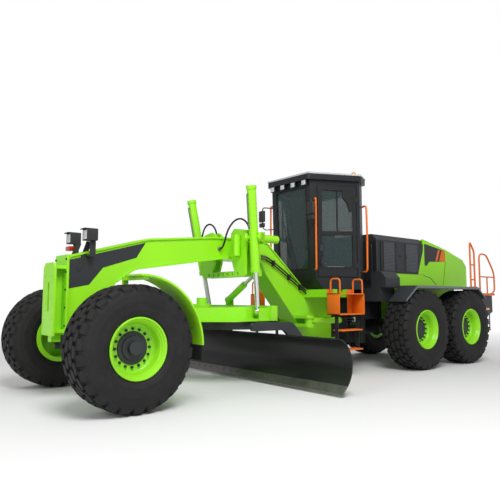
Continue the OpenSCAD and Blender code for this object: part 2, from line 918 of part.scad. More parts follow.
module ladder() {
    for (z = [1130, 1500])
        box(ladder_x[0], ladder_x[1], ladder_y, ladder_out, z, z + 20);
    for (x = [ladder_x[0], ladder_x[1] - 15])
        box(x, x + 15, ladder_y, ladder_out, 1130, 1520);
    box(ladder_x[0], ladder_x[1], ladder_y, ladder_y + 12, 1130, 1600);
    for (z = [490, 840])
        box(ladder_x[0] + 60, ladder_x[1] - 60, 1040, ladder_out, z, z + 25);
    for (x = [ladder_x[0] + 60, ladder_x[1] - 75])
        box(x, x + 15, 1080, 1160, 490, 1140);
    for (x = [ladder_x[0] + 40, ladder_x[1] - 40])
        pipe([[x, ladder_out - 20, 1510], [x, ladder_out - 20, 1790], [x, ladder_y + 60, 1790], [x, ladder_y + 60, 1510]],
            15);
}

module cab_ladders() {
    color(orange)
        both()
            ladder();
}

// Cab handrails: tubes beside the door openings
module cab_handrails() {
    color(orange)
        both()
            at_door() {
                x0 = door_x[1] + 60;
                z0 = door_z[1] - 280;
                z1 = door_z[1] - 380;
                pipe([[x0, 0.3, 1980], [x0, 75, 1980], [x0, 75, z0], [x0, 0.3, z0]], 15);
                pipe([[-120, -163, 1950], [-120, 40, 1950], [-120, 60, (1950 + z1) / 2 + 100], [-120, 40, z1],
                    [-120, -163, z1]], 15);
            }
}

module mirrors() {
    z = shell_top - 820;
    color(black)
        both() {
            pipe([[-4141.6, 552, z + 400], [-3990, 700, z + 420], [-3990, 700, z]], 12);
            box(-4010, -3950, 620, 790, z, z + 350);
        }
}

module cab_lamps() {
    color(black) {
        for (y = [-450, -150, 150, 450])
            box(-4080, -4040, y - 60, y + 60, shell_top - 110, shell_top);
        translate([-5250, 700, cab_top])
            cylinder(h = 30, r = 60);
    }
    color(orange)
        translate([-5250, 700, cab_top + 30])
            cylinder(h = 130, r = 50);
}

module head_lamps() {
    color(black)
        both() {
            box(60, 140, half, 330, 2020, 2045);
            box(60, 140, 305, 330, 2020, 2260);
            difference() {
                box(60, 220, 230, 400, 2250, 2420);
                box(208, 230, 245, 385, 2265, 2400);
            }
            box(210, 258, 230, 400, 2408, 2420);
        }
}

// Rear frame: nose with the hinge ears, deep side rails, cross members and deck
rail_y = [470, 530];
deck_z = 1690;
rail_end = -9300;

module rear_frame() {
    color(green)
        difference() {
            union() {
                box(-5700, -5590, -560, 560, 520, 1510);
                box(-5600, -5450, -300, 300, 520, 1510);
                for (z = ear_z, s = [-1, 1])
                    translate([0, 0, z + ear_t / 2 + s * (ear_t / 2 + 5 + 20) - 20])
                        linear_extrude(40)
                            union() {
                                translate([hinge_x, 0])
                                    circle(r = 140);
                                translate([hinge_x - 200, -140])
                                    square([200, 280]);
                            }
                for (z = ear_z)
                    translate([hinge_x, 0, z - 40])
                        cylinder(h = ear_t + 80, r = hinge_r);
                both() {
                    box(rail_end, -5690, rail_y[0], rail_y[1], 1000, 1670);
                    for (z = [artic_z - 110, artic_z + 50])
                        translate([0, 0, z])
                            linear_extrude(60)
                                polygon(rounded([[-5600, 560, 0], [artic_x1 + 85, artic_y + 80, 60],
                                    [artic_x1 + 85, artic_y - 80, 60], [-5600, 400, 0]]));
                }
                for (x = [-5700, -6250, -8400, -9250])
                    box(x - 50, x + 50, -rail_y[0] - 5, rail_y[0] + 5, 1000, 1340);
                box(-6200, -5700, -720, 720, deck_z - 30, deck_z);
                box(-9850, -8640, -720, 720, deck_z - 30, deck_z);
            }
        }
}

// Tandem cases: chain boxes with the hubs, and the rear axle between them
case_y = [rear_track - 530, rear_track - 340];

module tandem_cases() {
    axle_x = (mid_x + rear_x) / 2;
    color(grey) {
        both() {
            translate([0, (case_y[0] + case_y[1]) / 2, 0])
                along_y(case_y[1] - case_y[0])
                    union() {
                        for (x = [mid_x, rear_x])
                            translate([x, tyre_r])
                                circle(r = 230);
                        translate([rear_x, tyre_r - 230])
                            square([tandem_spacing, 460]);
                    }
            for (x = [mid_x, rear_x]) {
                translate([x, case_y[1] - 5, tyre_r])
                    rotate([-90, 0, 0])
                        cylinder(h = rear_track + disc_y + disc_t / 2 - case_y[1] + 6, r = hub_r);
                translate([x, rear_track + disc_y + disc_t / 2 + 1, tyre_r])
                    rotate([-90, 0, 0])
                        cylinder(h = 40, r = hub_r + 35);
            }
        }
        translate([axle_x, 0, tyre_r])
            rotate([90, 0, 0])
                cylinder(h = 2 * case_y[0] + 10, r = 190, center = true);
        translate([axle_x, 0, tyre_r])
            sphere(r = 260);
        both()
            box(axle_x - 200, axle_x + 200, rail_y[0] - 40, rail_y[1] + 40, tyre_r, 1000);
    }
}

module engine() {
    color(grey)
        box(-8300, -6350, -rail_y[0], rail_y[0], 1340, 2350);
}

// Bonnet: grey front cowl on a green lower band, green rear cowl
bonnet_y = 700;
cowl_x = [-5950, -7700];
band_z = 1970;
cowl_end = -9900;
seam_x = [-6615, -6975];
grille_x = [[-6580, -6200], [-7460, -7020]];
bump_x = [-6700, -7050, -7250];

module front_cowl() {
    color(grey)
        difference() {
            translate([(cowl_x[0] + cowl_x[1]) / 2, 0, 0])
                along_x(cowl_x[0] - cowl_x[1])
                    polygon([[-bonnet_y, band_z], [bonnet_y, band_z], [bonnet_y, bonnet_top - 120],
                        [bonnet_y - 120, bonnet_top], [-bonnet_y + 120, bonnet_top], [-bonnet_y, bonnet_top - 120]]);
            box(cowl_x[1] - 10, cowl_x[0] - panel_t, -bonnet_y + panel_t, bonnet_y - panel_t, band_z - 10,
                bonnet_top - 140);
            both() {
                for (x = seam_x)
                    box(x - 5, x + 5, bonnet_y - 8, bonnet_y + 1, band_z + 25, bonnet_top - 130);
                for (g = grille_x) {
                    box(g[0], g[1], bonnet_y - 8, bonnet_y + 1, band_z + 60, bonnet_top - 150);
                    for (z = [band_z + 90:62:bonnet_top - 200])
                        box(g[0] + 30, g[1] - 30, bonnet_y - 20, bonnet_y, z, z + 34);
                }
            }
        }
    color(grey)
        for (x = bump_x)
            translate([x, 300, bonnet_top - 10])
                cylinder(h = 55, r = 50);
}

module rear_cowl() {
    color(green)
        difference() {
            intersection() {
                along_y(4000)
                    polygon([[cowl_x[0], deck_z], [cowl_x[0], band_z], [cowl_x[1], band_z], [cowl_x[1], bonnet_top],
                        [-9680, 2410], [cowl_end, 2250], [cowl_end, deck_z]]);
                linear_extrude(5000)
                    polygon([[cowl_x[0], bonnet_y], [-8650, bonnet_y], [cowl_end, 550], [cowl_end, -550],
                        [-8650, -bonnet_y], [cowl_x[0], -bonnet_y]]);
            }
            intersection() {
                along_y(4000)
                    polygon([[cowl_x[0] - panel_t, 1000], [cowl_x[0] - panel_t, 3000], [cowl_x[1] - panel_t, 3000],
                        [cowl_x[1] - panel_t, bonnet_top - panel_t - 8], [-9660, 2370], [cowl_end + panel_t, 2200],
                        [cowl_end + panel_t, 1000]]);
                linear_extrude(5000)
                    polygon([[cowl_x[0], bonnet_y - panel_t], [-8650, bonnet_y - panel_t], [cowl_end, 550 - panel_t],
                        [cowl_end, -550 + panel_t], [-8650, -bonnet_y + panel_t], [cowl_x[0], -bonnet_y + panel_t]]);
            }
            for (z = [deck_z + 90:60:2190])
                box(cowl_end - 1, cowl_end + 12, -400, 400, z, z + 30);
        }
}

// Rear fenders: walkway plates over the tandem wheels
fender_out = rear_track + 210;
fender_in = rear_track - 185;
walk_x = [-8640, -6200];

module rear_fenders() {
    color(grey)
        both() {
            box(walk_x[0], walk_x[1], rail_y[1], fender_out, deck_z - 30, deck_z);
            translate([0, (fender_in + fender_out) / 2, 0])
                along_y(fender_out - fender_in)
                    polygon([[walk_x[1] - 10, deck_z], [walk_x[1], deck_z], [-5800, 1400], [-5800, 1362],
                        [walk_x[1] - 10, deck_z - 35]]);
            translate([0, (fender_in + fender_out) / 2, 0])
                along_y(fender_out - fender_in)
                    polygon([[walk_x[0] + 10, deck_z], [walk_x[0], deck_z], [-8960, 1460], [-8960, 1420],
                        [walk_x[0] + 10, deck_z - 35]]);
            box(walk_x[0], walk_x[1], fender_out - 20, fender_out, deck_z - 65, deck_z);
        }
}

box_y = rear_track - 330;

module side_boxes() {
    color(grey)
        both()
            translate([-5945, 0, 0])
                along_x(480)
                    polygon([[rail_y[1], 1370], [box_y, 1370], [box_y, deck_z - 40], [box_y + 140, deck_z - 40],
                        [box_y + 140, 1850], [box_y + 20, 1980], [725, 1980], [725, deck_z - 40], [rail_y[1], deck_z - 40]]);
}

// Rear bumper: box across the tail with its tow clevis and lamps
bumper_y = 1200;
tow_r = 26;
tow_x = -9980;

module rear_bumper() {
    color(grey)
        difference() {
            union() {
                translate([(rail_end - 9900) / 2, 0, 0])
                    along_x(rail_end + 9900)
                        polygon([[-bumper_y, 1100], [-bumper_y + 300, 850], [bumper_y - 300, 850], [bumper_y, 1100],
                            [bumper_y, 1500], [-bumper_y, 1500]]);
                both()
                    box(-9925, -9890, 930, 1150, 1330, 1440);
                for (z = [950, 1050])
                    translate([0, 0, z])
                        linear_extrude(40)
                            union() {
                                translate([tow_x, 0])
                                    circle(r = 70);
                                translate([tow_x, -70])
                                    square([100, 140]);
                            }
            }
            translate([tow_x, 0, 900])
                cylinder(h = 300, r = tow_r);
        }
}

// Rear rails: bent tube frames on the walkway and beside the rear platforms
module rail_frame(outer, inner, bar_z) {
    along_y(2 * rail_r)
        difference() {
            polygon(rounded(outer));
            difference() {
                polygon(rounded(inner));
                translate([-20000, bar_z - rail_r])
                    square([30000, 2 * rail_r]);
            }
        }
}

module rear_rails() {
    d = 2 * rail_r;
    z = deck_z + 0.2;
    color(orange)
        both() {
            translate([0, fender_out - 50, 0])
                rail_frame([[-8400, z, 0], [-8400, 2750, 60], [-8620, 2520, 80], [-8620, z, 0]],
                    [[-8400 - d, z - 50, 0], [-8400 - d, 2665, 20], [-8620 + d, 2505, 40], [-8620 + d, z - 50, 0]], 2200);
            box(-10020, -9300, 900, 1220, 1500, 1560);
            translate([0, 1160, 0])
                rail_frame([[-9380, 1550, 0], [-9380, 2540, 120], [-9760, 2540, 120], [tail_x, 2080, 120], [tail_x, 1600, 80],
                    [-9990, 1540, 0]], [[-9380 - d, 1555, 0], [-9380 - d, 2540 - d, 80], [-9745, 2540 - d, 80],
                    [tail_x + d, 2065, 80], [tail_x + d, 1622, 40], [-9960, 1555, 0]], 1960);
        }
}

// Articulation cylinders: barrel on the front frame, rod reaching the rear frame
artic_r = 62;
artic_rod_r = 36;

module artic_barrel() {
    color(green)
        difference() {
            union() {
                translate([artic_x0, artic_y, artic_z])
                    cylinder(h = 98, r = 68, center = true);
                translate([artic_x0, artic_y, artic_z])
                    cylinder(h = 216, r = 40, center = true);
                translate([artic_x0 - 40, artic_y, artic_z])
                    rotate([0, -90, 0])
                        cylinder(h = 840, r = artic_r - 14);
                translate([artic_x0 - 140, artic_y, artic_z])
                    rotate([0, -90, 0])
                        cylinder(h = 740, r = artic_r);
            }
            translate([artic_x0 - 150, artic_y, artic_z])
                rotate([0, -90, 0])
                    cylinder(h = 1000, r = artic_rod_r + slide_fit);
        }
}

module artic_rod() {
    color(steel) {
        translate([artic_x1, artic_y, artic_z])
            rotate([0, 90, 0])
                cylinder(h = 860, r = artic_rod_r);
        translate([artic_x1, artic_y, artic_z])
            cylinder(h = 90, r = 62, center = true);
    }
}

module left_artic_barrel() { artic_barrel(); }
module right_artic_barrel() { mirror([0, 1, 0]) artic_barrel(); }
module left_artic_rod() { artic_rod(); }
module right_artic_rod() { mirror([0, 1, 0]) artic_rod(); }

placed() front_frame();
placed() push_plate();
placed() lift_saddle();
placed() front_axle();
placed() cab_shell();
placed() cab_roof();
placed() cab_glass();
placed() operator_seat();
placed() cab_ladders();
placed() cab_handrails();
placed() mirrors();
placed() cab_lamps();
placed() head_lamps();
placed() left_door();
placed() left_door_glass();
placed() right_door();
placed() right_door_glass();
placed() left_knuckle();
placed() right_knuckle();
placed() left_fender();
placed() right_fender();
placed() tie_rod();
placed() front_left_tyre();
placed() front_right_tyre();
placed() middle_left_tyre();
placed() middle_right_tyre();
placed() rear_left_tyre();
placed() rear_right_tyre();
placed() front_left_rim();
placed() front_right_rim();
placed() middle_left_rim();
placed() middle_right_rim();
placed() rear_left_rim();
placed() rear_right_rim();
placed() drawbar();
placed() left_lift_barrel();
placed() right_lift_barrel();
placed() left_lift_rod();
placed() right_lift_rod();
placed() shift_barrel();
placed() shift_rod();
placed() turn_circle();
placed() blade_carriage();
placed() moldboard();
placed() cutting_edges();
placed() rear_frame();
placed() tandem_cases();
placed() engine();
placed() front_cowl();
placed() rear_cowl();
placed() rear_fenders();
placed() rear_rails();
placed() rear_bumper();
placed() side_boxes();
placed() left_artic_barrel();
placed() right_artic_barrel();
placed() left_artic_rod();
placed() right_artic_rod();
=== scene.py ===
import bpy, math
from mathutils import Matrix, Vector


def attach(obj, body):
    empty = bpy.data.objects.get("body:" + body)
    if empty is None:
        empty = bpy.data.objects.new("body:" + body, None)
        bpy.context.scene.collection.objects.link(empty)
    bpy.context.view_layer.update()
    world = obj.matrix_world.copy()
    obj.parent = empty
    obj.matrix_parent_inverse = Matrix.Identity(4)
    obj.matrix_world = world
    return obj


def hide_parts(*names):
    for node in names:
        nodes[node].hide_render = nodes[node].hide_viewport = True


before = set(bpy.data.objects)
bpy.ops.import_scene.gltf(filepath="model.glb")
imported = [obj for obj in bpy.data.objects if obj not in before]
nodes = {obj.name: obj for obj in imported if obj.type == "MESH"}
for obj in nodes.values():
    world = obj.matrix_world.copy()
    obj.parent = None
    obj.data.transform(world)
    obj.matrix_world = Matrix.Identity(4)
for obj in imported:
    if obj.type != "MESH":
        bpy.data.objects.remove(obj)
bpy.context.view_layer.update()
scene = bpy.context.scene

# Studio: a pale floor that fades to white, a soft key lamp above the left
# side, a weak fill in front and a white sky that lights all sides evenly.
AXLE_X = 4.6725          # the front axle in the shared frame, metres
scene.view_settings.view_transform = "Standard"


class Link:
    """One socket of a shader; sums, products and the like add Math nodes."""

    def __init__(self, finish, socket):
        self.finish, self.socket = finish, socket

    def maths(self, operation, first, second):
        return self.finish.node("ShaderNodeMath", {"operation": operation}, {0: first, 1: second})

    def __add__(self, other): return self.maths("ADD", self, other)
    def __radd__(self, other): return self.maths("ADD", other, self)
    def __sub__(self, other): return self.maths("SUBTRACT", self, other)
    def __rsub__(self, other): return self.maths("SUBTRACT", other, self)
    def __mul__(self, other): return self.maths("MULTIPLY", self, other)
    def __rmul__(self, other): return self.maths("MULTIPLY", other, self)
    def __gt__(self, other): return self.maths("GREATER_THAN", self, other)


class Finish:
    """A material made of shader nodes, with a slot name stored beside it."""

    def __init__(self, name, slot=None):
        self.slot = slot or name
        self.material = bpy.data.materials.new(name)
        self.material.use_nodes = True
        self.tree = self.material.node_tree
        self.shader = self.tree.nodes["Principled BSDF"]
        self.output = self.tree.nodes["Material Output"]

    def node(self, kind, settings=None, sockets=None, out=0):
        made = self.tree.nodes.new(kind)
        for key, value in (settings or {}).items():
            if key == "stops":
                ramp = made.color_ramp.elements
                for i, (place, level) in enumerate(value):
                    stop = ramp[i] if i < 2 else ramp.new(place)
                    stop.position, stop.color = place, (level, level, level, 1)
            else:
                setattr(made, key, value)
        for key, value in (sockets or {}).items():
            if isinstance(value, Link):
                self.tree.links.new(value.socket, made.inputs[key])
            else:
                made.inputs[key].default_value = value
        return Link(self, made.outputs[out])

    def feed(self, name, link):
        self.tree.links.new(link.socket, self.shader.inputs[name])

    def fixed(self, **values):
        for name, value in values.items():
            self.shader.inputs[name.replace("_", " ").title().replace("Ior", "IOR")].default_value = value

    def place(self):
        return self.node("ShaderNodeTexCoord", out="Object")

    def noise(self, scale, detail=3.0, rough=0.5):
        return self.node("ShaderNodeTexNoise", None, {"Vector": self.place(), "Scale": scale,
                                                      "Detail": detail, "Roughness": rough}, "Fac")

    def bump(self, strength, distance, height):
        """Relief from a height; the distance is in metres."""
        self.feed("Normal", self.node("ShaderNodeBump", None, {"Strength": strength, "Distance": distance,
                                                               "Height": height}, "Normal"))

    def wave(self, direction, scale, distortion=0.0):
        return self.node("ShaderNodeTexWave", {"bands_direction": direction},
                         {"Vector": self.place(), "Scale": scale, "Distortion": distortion}, "Fac")

    def ranged(self, value, low, high):
        """A value as 0 at low and 1 at high."""
        return self.node("ShaderNodeMapRange", None,
                         {"Value": value, "From Min": low, "From Max": high}, "Result")

    def blend(self, amount, low, high):
        return self.node("ShaderNodeMix", {"data_type": "RGBA"},
                         {"Factor": amount, "A": low, "B": high}, "Result")


def light(name, place, target, energy, size):
    lamp = bpy.data.lights.new(name, "AREA")
    lamp.energy, lamp.size = energy, size
    holder = bpy.data.objects.new(name, lamp)
    scene.collection.objects.link(holder)
    holder.location = place
    holder.rotation_euler = (Vector(target) - Vector(place)).to_track_quat("-Z", "Y").to_euler()


light("key", (6.0, 9.0, 11.0), (0, 0, 1.2), 1500, 6.0)
light("front_fill", (14.0, 3.0, 5.0), (2, 0, 1.2), 320, 6.0)
light("back_fill", (-11.0, -9.0, 8.0), (-1, 0, 1.4), 520, 7.0)

sky = bpy.data.worlds.new("sky")
scene.world = sky
sky.use_nodes = True
sky_nodes, sky_links = sky.node_tree.nodes, sky.node_tree.links
rays = sky_nodes.new("ShaderNodeLightPath")
seen = sky_nodes.new("ShaderNodeMath")
seen.operation = "ADD"
seen.use_clamp = True
sky_links.new(rays.outputs["Is Camera Ray"], seen.inputs[0])
sky_links.new(rays.outputs["Is Transmission Ray"], seen.inputs[1])
level = sky_nodes.new("ShaderNodeMix")
level.inputs["A"].default_value, level.inputs["B"].default_value = 0.46, 1.0
sky_links.new(seen.outputs[0], level.inputs["Factor"])
sky_nodes["Background"].inputs["Color"].default_value = (1, 1, 1, 1)
sky_links.new(level.outputs["Result"], sky_nodes["Background"].inputs["Strength"])

bpy.ops.object.select_all(action="DESELECT")
bpy.ops.mesh.primitive_circle_add(vertices=96, radius=60, fill_type="NGON", location=(0, 0, -0.002))
floor = bpy.context.object
floor.name = "floor"
floor_finish = Finish("pale_floor")
floor_finish.fixed(base_color=(0.80, 0.80, 0.80, 1), roughness=0.75)
away = floor_finish.node("ShaderNodeVectorMath", {"operation": "LENGTH"}, {0: floor_finish.place()}, "Value")
fade = floor_finish.ranged(away, 7.0, 16.0)
white = floor_finish.node("ShaderNodeEmission", None, {"Color": (1, 1, 1, 1), "Strength": 1.0}, "Emission")
matt = Link(floor_finish, floor_finish.shader.outputs[0])
mixed = floor_finish.node("ShaderNodeMixShader", None, {0: fade, 1: matt, 2: white})
floor_finish.tree.links.new(mixed.socket, floor_finish.output.inputs["Surface"])
floor.data.materials.append(floor_finish.material)

eye = bpy.data.cameras.new("camera")
eye.lens, eye.sensor_width = 37.86, 36.0
camera = bpy.data.objects.new("camera", eye)
scene.collection.objects.link(camera)
ahead = Vector((-0.6323, -0.7692, 0.0923)).normalized()
across = Vector((-0.7725, 0.6350, 0.0)).normalized()
upward = across.cross(ahead).normalized()
camera.matrix_world = Matrix.Translation((7.79285, 7.53771, 1.42255)) @ Matrix((
    (across.x, upward.x, -ahead.x, 0), (across.y, upward.y, -ahead.y, 0),
    (across.z, upward.z, -ahead.z, 0), (0, 0, 0, 1)))
scene.camera = camera

# Painted plate: welded steel plate, sprayed in two-pack gloss. The coat has
# a fine orange peel, a little road dust low down and brighter worn edges.


def painted(name, colour, gloss=0.32, coat=0.35, dust=0.10, edge=0.35, ahead=None, shine=0.5, slot=None):
    """Sprayed paint; ahead is a second colour and the x from which it covers the first."""
    paint = Finish(name, slot)
    soft_edge = paint.node("ShaderNodeBevel", {"samples": 4}, {"Radius": 0.007}, "Normal")
    true_edge = paint.node("ShaderNodeNewGeometry", out="True Normal")
    turn = paint.node("ShaderNodeVectorMath", {"operation": "DOT_PRODUCT"}, {0: soft_edge, 1: true_edge},
                      "Value")
    worn = paint.ranged(turn, 0.995, 0.85)
    cloud = paint.noise(0.9, 2.0)
    speckle = paint.noise(14.0, 6.0, 0.65)
    height = paint.node("ShaderNodeSeparateXYZ", None, {0: paint.place()}, "Z")
    low = paint.ranged(height, 2.2, 0.2)
    deep = [c * 0.88 for c in colour]
    pale = [min(1.0, c * 1.08 + 0.004) for c in colour]
    base = paint.blend(cloud, (*deep, 1), (*pale, 1))
    if ahead:
        along = paint.node("ShaderNodeSeparateXYZ", None, {0: paint.place()}, "X")
        base = paint.blend(along > ahead[1], base, (*ahead[0], 1))
    rubbed = [min(1.0, c * 1.25 + 0.03) for c in colour]
    base = paint.blend(worn * speckle * edge, base, (*rubbed, 1))
    base = paint.blend(low * speckle * dust, base, (0.20, 0.18, 0.15, 1))
    paint.feed("Base Color", base)
    paint.feed("Roughness", speckle * 0.14 + low * dust + (gloss - 0.07))
    peel = paint.noise(160.0, 2.0)
    bump = paint.node("ShaderNodeBump", None,
                      {"Strength": 0.05, "Distance": 0.002, "Height": peel, "Normal": soft_edge}, "Normal")
    paint.feed("Normal", bump)
    paint.fixed(coat_weight=coat, coat_roughness=0.08, specular_ior_level=shine)
    return paint


LIME, SLATE = (0.285, 0.74, 0.010), (0.013, 0.015, 0.018)
lime = painted("lime_paint", LIME, coat=0.15, edge=0.15, shine=0.32)
frame_paint = painted("frame_paint", LIME, coat=0.15, edge=0.15, shine=0.32, ahead=(SLATE, AXLE_X - 6.30))
charcoal = painted("charcoal_paint", (0.024, 0.027, 0.032), gloss=0.42, coat=0.08, dust=0.06, shine=0.32)
slate = painted("slate_paint", SLATE, gloss=0.36, coat=0.08, dust=0.05, shine=0.28, slot="charcoal_paint")
black = painted("black_paint", (0.006, 0.0065, 0.008), gloss=0.28, coat=0.08, dust=0.03, shine=0.28)
orange = painted("safety_orange", (0.74, 0.145, 0.004), gloss=0.38, coat=0.10, edge=0.20, shine=0.30)


def dress(finish, *names):
    for name in names:
        for place in nodes[name].material_slots:
            place.material = finish.material


SIDES = ("left", "right")
dress(lime, "front_frame", "push_plate", "lift_saddle", "drawbar", "rear_cowl", "shift_barrel",
      "left_fender", "right_fender", *[s + p for s in SIDES for p in ("_lift_barrel", "_artic_barrel")])
dress(frame_paint, "rear_frame")
dress(slate, "cab_shell", "cab_roof", "left_door", "right_door", "engine", "tandem_cases")
dress(charcoal, "front_cowl", "rear_fenders", "side_boxes",
      "rear_bumper", "front_axle", "left_knuckle", "right_knuckle", "turn_circle", "blade_carriage")
dress(black, "moldboard")
dress(orange, "cab_ladders", "cab_handrails", "rear_rails")

# Rods and edges: ground and hard-chromed cylinder rods, and the forged tie
# rod and bolt-on cutting edges, which are bare steel rubbed bright.
chrome = Finish("chrome_rod")
chrome.fixed(base_color=(0.68, 0.69, 0.70, 1), metallic=1.0)
chrome.feed("Roughness", chrome.noise(30.0, 4.0) * 0.10 + 0.08)
steel = Finish("worn_steel")
scuff = steel.noise(6.0, 8.0, 0.7)
steel.feed("Base Color", steel.blend(scuff, (0.09, 0.085, 0.08, 1), (0.30, 0.29, 0.28, 1)))
steel.feed("Roughness", scuff * 0.3 + 0.25)
steel.fixed(metallic=0.9)
steel.bump(0.25, 0.003, scuff)
dress(chrome, "shift_rod", *[s + p for s in SIDES for p in ("_lift_rod", "_artic_rod")])
dress(steel, "cutting_edges", "tie_rod")

# Glass: flat panes of tinted safety glass, bonded into the openings of the
# cab frame and of the two doors.
glass = Finish("tinted_glass")
glass.fixed(base_color=(0.030, 0.055, 0.055, 1), roughness=0.03, ior=1.45, coat_weight=0.8,
            coat_roughness=0.02, alpha=0.52)
dress(glass, "cab_glass", "left_door_glass", "right_door_glass")

# Moulded plastic: lamp housings, mirror shells and small covers, injection
# moulded in black grained polymer and screwed on.
plastic = Finish("black_plastic")
grain = plastic.noise(90.0, 4.0)
plastic.feed("Base Color", plastic.blend(grain, (0.010, 0.010, 0.012, 1), (0.022, 0.022, 0.024, 1)))
plastic.feed("Roughness", grain * 0.2 + 0.42)
plastic.bump(0.2, 0.001, grain)
dress(plastic, "mirrors", "cab_lamps", "head_lamps", "operator_seat")

# Wheels: bias earth-mover tyres with staggered tread blocks on a ribbed
# carcass, on deep-dished welded rims with a ring of wheel nuts round a charcoal
# hub disc, drawn wider than the hub as painted shade for the shadowed dish recess.
rubber = Finish("tyre_rubber")
scrub = rubber.noise(5.0, 6.0, 0.6)
fine = rubber.noise(60.0, 4.0, 0.6)
rubber.feed("Base Color", rubber.blend(scrub * fine * 1.6, (0.006, 0.006, 0.007, 1),
                                       (0.028, 0.027, 0.026, 1)))
rubber.feed("Roughness", fine * 0.25 + 0.55)
rubber.bump(0.3, 0.004, fine)
rubber.fixed(specular_ior_level=0.25)
WHEELS = [(end, side) for end in ("front", "middle", "rear") for side in SIDES]


def deselect():
    if bpy.context.object and bpy.context.object.mode != "OBJECT":
        bpy.ops.object.mode_set(mode="OBJECT")
    bpy.ops.object.select_all(action="DESELECT")


def start(name, kind, **sizes):
    """Adds a primitive by itself, with nothing else selected."""
    deselect()
    getattr(bpy.ops.mesh, "primitive_%s_add" % kind)(**sizes)
    made = bpy.context.object
    made.name = made.data.name = name
    return made


def only(piece):
    deselect()
    piece.select_set(True)
    bpy.context.view_layer.objects.active = piece


def modified(piece, kind, **settings):
    """Adds one modifier, sets it and applies it."""
    only(piece)
    made = piece.modifiers.new("made", kind)
    for key, value in settings.items():
        setattr(made, key, value)
    bpy.ops.object.modifier_apply(modifier="made")


def edit_all():
    """Opens the active mesh for editing, with all of it selected."""
    bpy.ops.object.mode_set(mode="EDIT")
    bpy.ops.mesh.select_all(action="SELECT")


def settle(piece, smooth=35):
    """Puts the place into the mesh, merges doubles, turns faces outwards and smooths."""
    only(piece)
    bpy.ops.object.transform_apply(location=True, rotation=True, scale=True)
    edit_all()
    bpy.ops.mesh.remove_doubles(threshold=0.00002)
    bpy.ops.mesh.normals_make_consistent(inside=False)
    bpy.ops.object.mode_set(mode="OBJECT")
    bpy.ops.object.shade_smooth_by_angle(angle=math.radians(smooth))
    return piece


def turned(name, section, steps=96):
    """A lathe piece about the Y axis from a closed section of (radius, y) points."""
    piece = start(name, "circle", vertices=len(section), fill_type="NOTHING")
    for corner, (radius, y) in zip(piece.data.vertices, section):
        corner.co = (0, y, radius)
    edit_all()
    bpy.ops.mesh.spin(steps=steps, angle=math.tau, center=(0, 0, 0), axis=(0, 1, 0))
    return settle(piece)


def ringed(piece, count, axis="Y"):
    """Repeats a piece round the wheel axis with an Array modifier."""
    step = bpy.data.objects.new("step", None)
    scene.collection.objects.link(step)
    step.rotation_euler["XYZ".index(axis)] = math.tau / count
    bpy.context.view_layer.update()
    modified(piece, "ARRAY", count=count, use_relative_offset=False, use_object_offset=True,
             offset_object=step)
    bpy.data.objects.remove(step)
    return piece


def raised(name, outline, low, high, taper, edge):
    """A block on an outline of (x, y) points, from height low to high, its top drawn in and bevelled."""
    piece = start(name, "circle", vertices=len(outline), fill_type="NGON")
    middle = Vector((sum(p[0] for p in outline), sum(p[1] for p in outline))) / len(outline)
    for corner, (x, y) in zip(piece.data.vertices, outline):
        corner.co = (x, y, low)
    edit_all()
    bpy.ops.mesh.extrude_region_move(TRANSFORM_OT_translate={"value": (0, 0, high - low)})
    bpy.ops.transform.resize(value=(taper, taper, 1), center_override=(middle.x, middle.y, high))
    if edge:
        bpy.ops.mesh.bevel(offset=edge, segments=1, affect="EDGES")
    return settle(piece, 20)


def joined(name, pieces):
    only(pieces[0])
    for piece in pieces[1:]:
        piece.select_set(True)
    bpy.ops.object.join()
    made = bpy.context.object
    made.name = made.data.name = name
    return made


def copied(piece, name, place):
    made = piece.copy()
    made.data = piece.data.copy()
    made.name = made.data.name = name
    scene.collection.objects.link(made)
    made.data.transform(place)
    if place.determinant() < 0:
        made.data.flip_normals()
    return made


def finished(piece, finish, body, *replaced):
    piece.data.materials.clear()
    piece.data.materials.append(finish.material)
    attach(piece, body)
    if replaced:
        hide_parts(*replaced)
    return piece


def ngon(radius, sides, a=0.0, b=0.0):
    """The corners of a regular outline about (a, b)."""
    return [(a + radius * math.cos(math.tau * k / sides), b + radius * math.sin(math.tau * k / sides))
            for k in range(sides)]


def moved(x, y=0.0, z=0.0):
    """A place from the ground under the front axle."""
    return Matrix.Translation((AXLE_X + x, y, z))


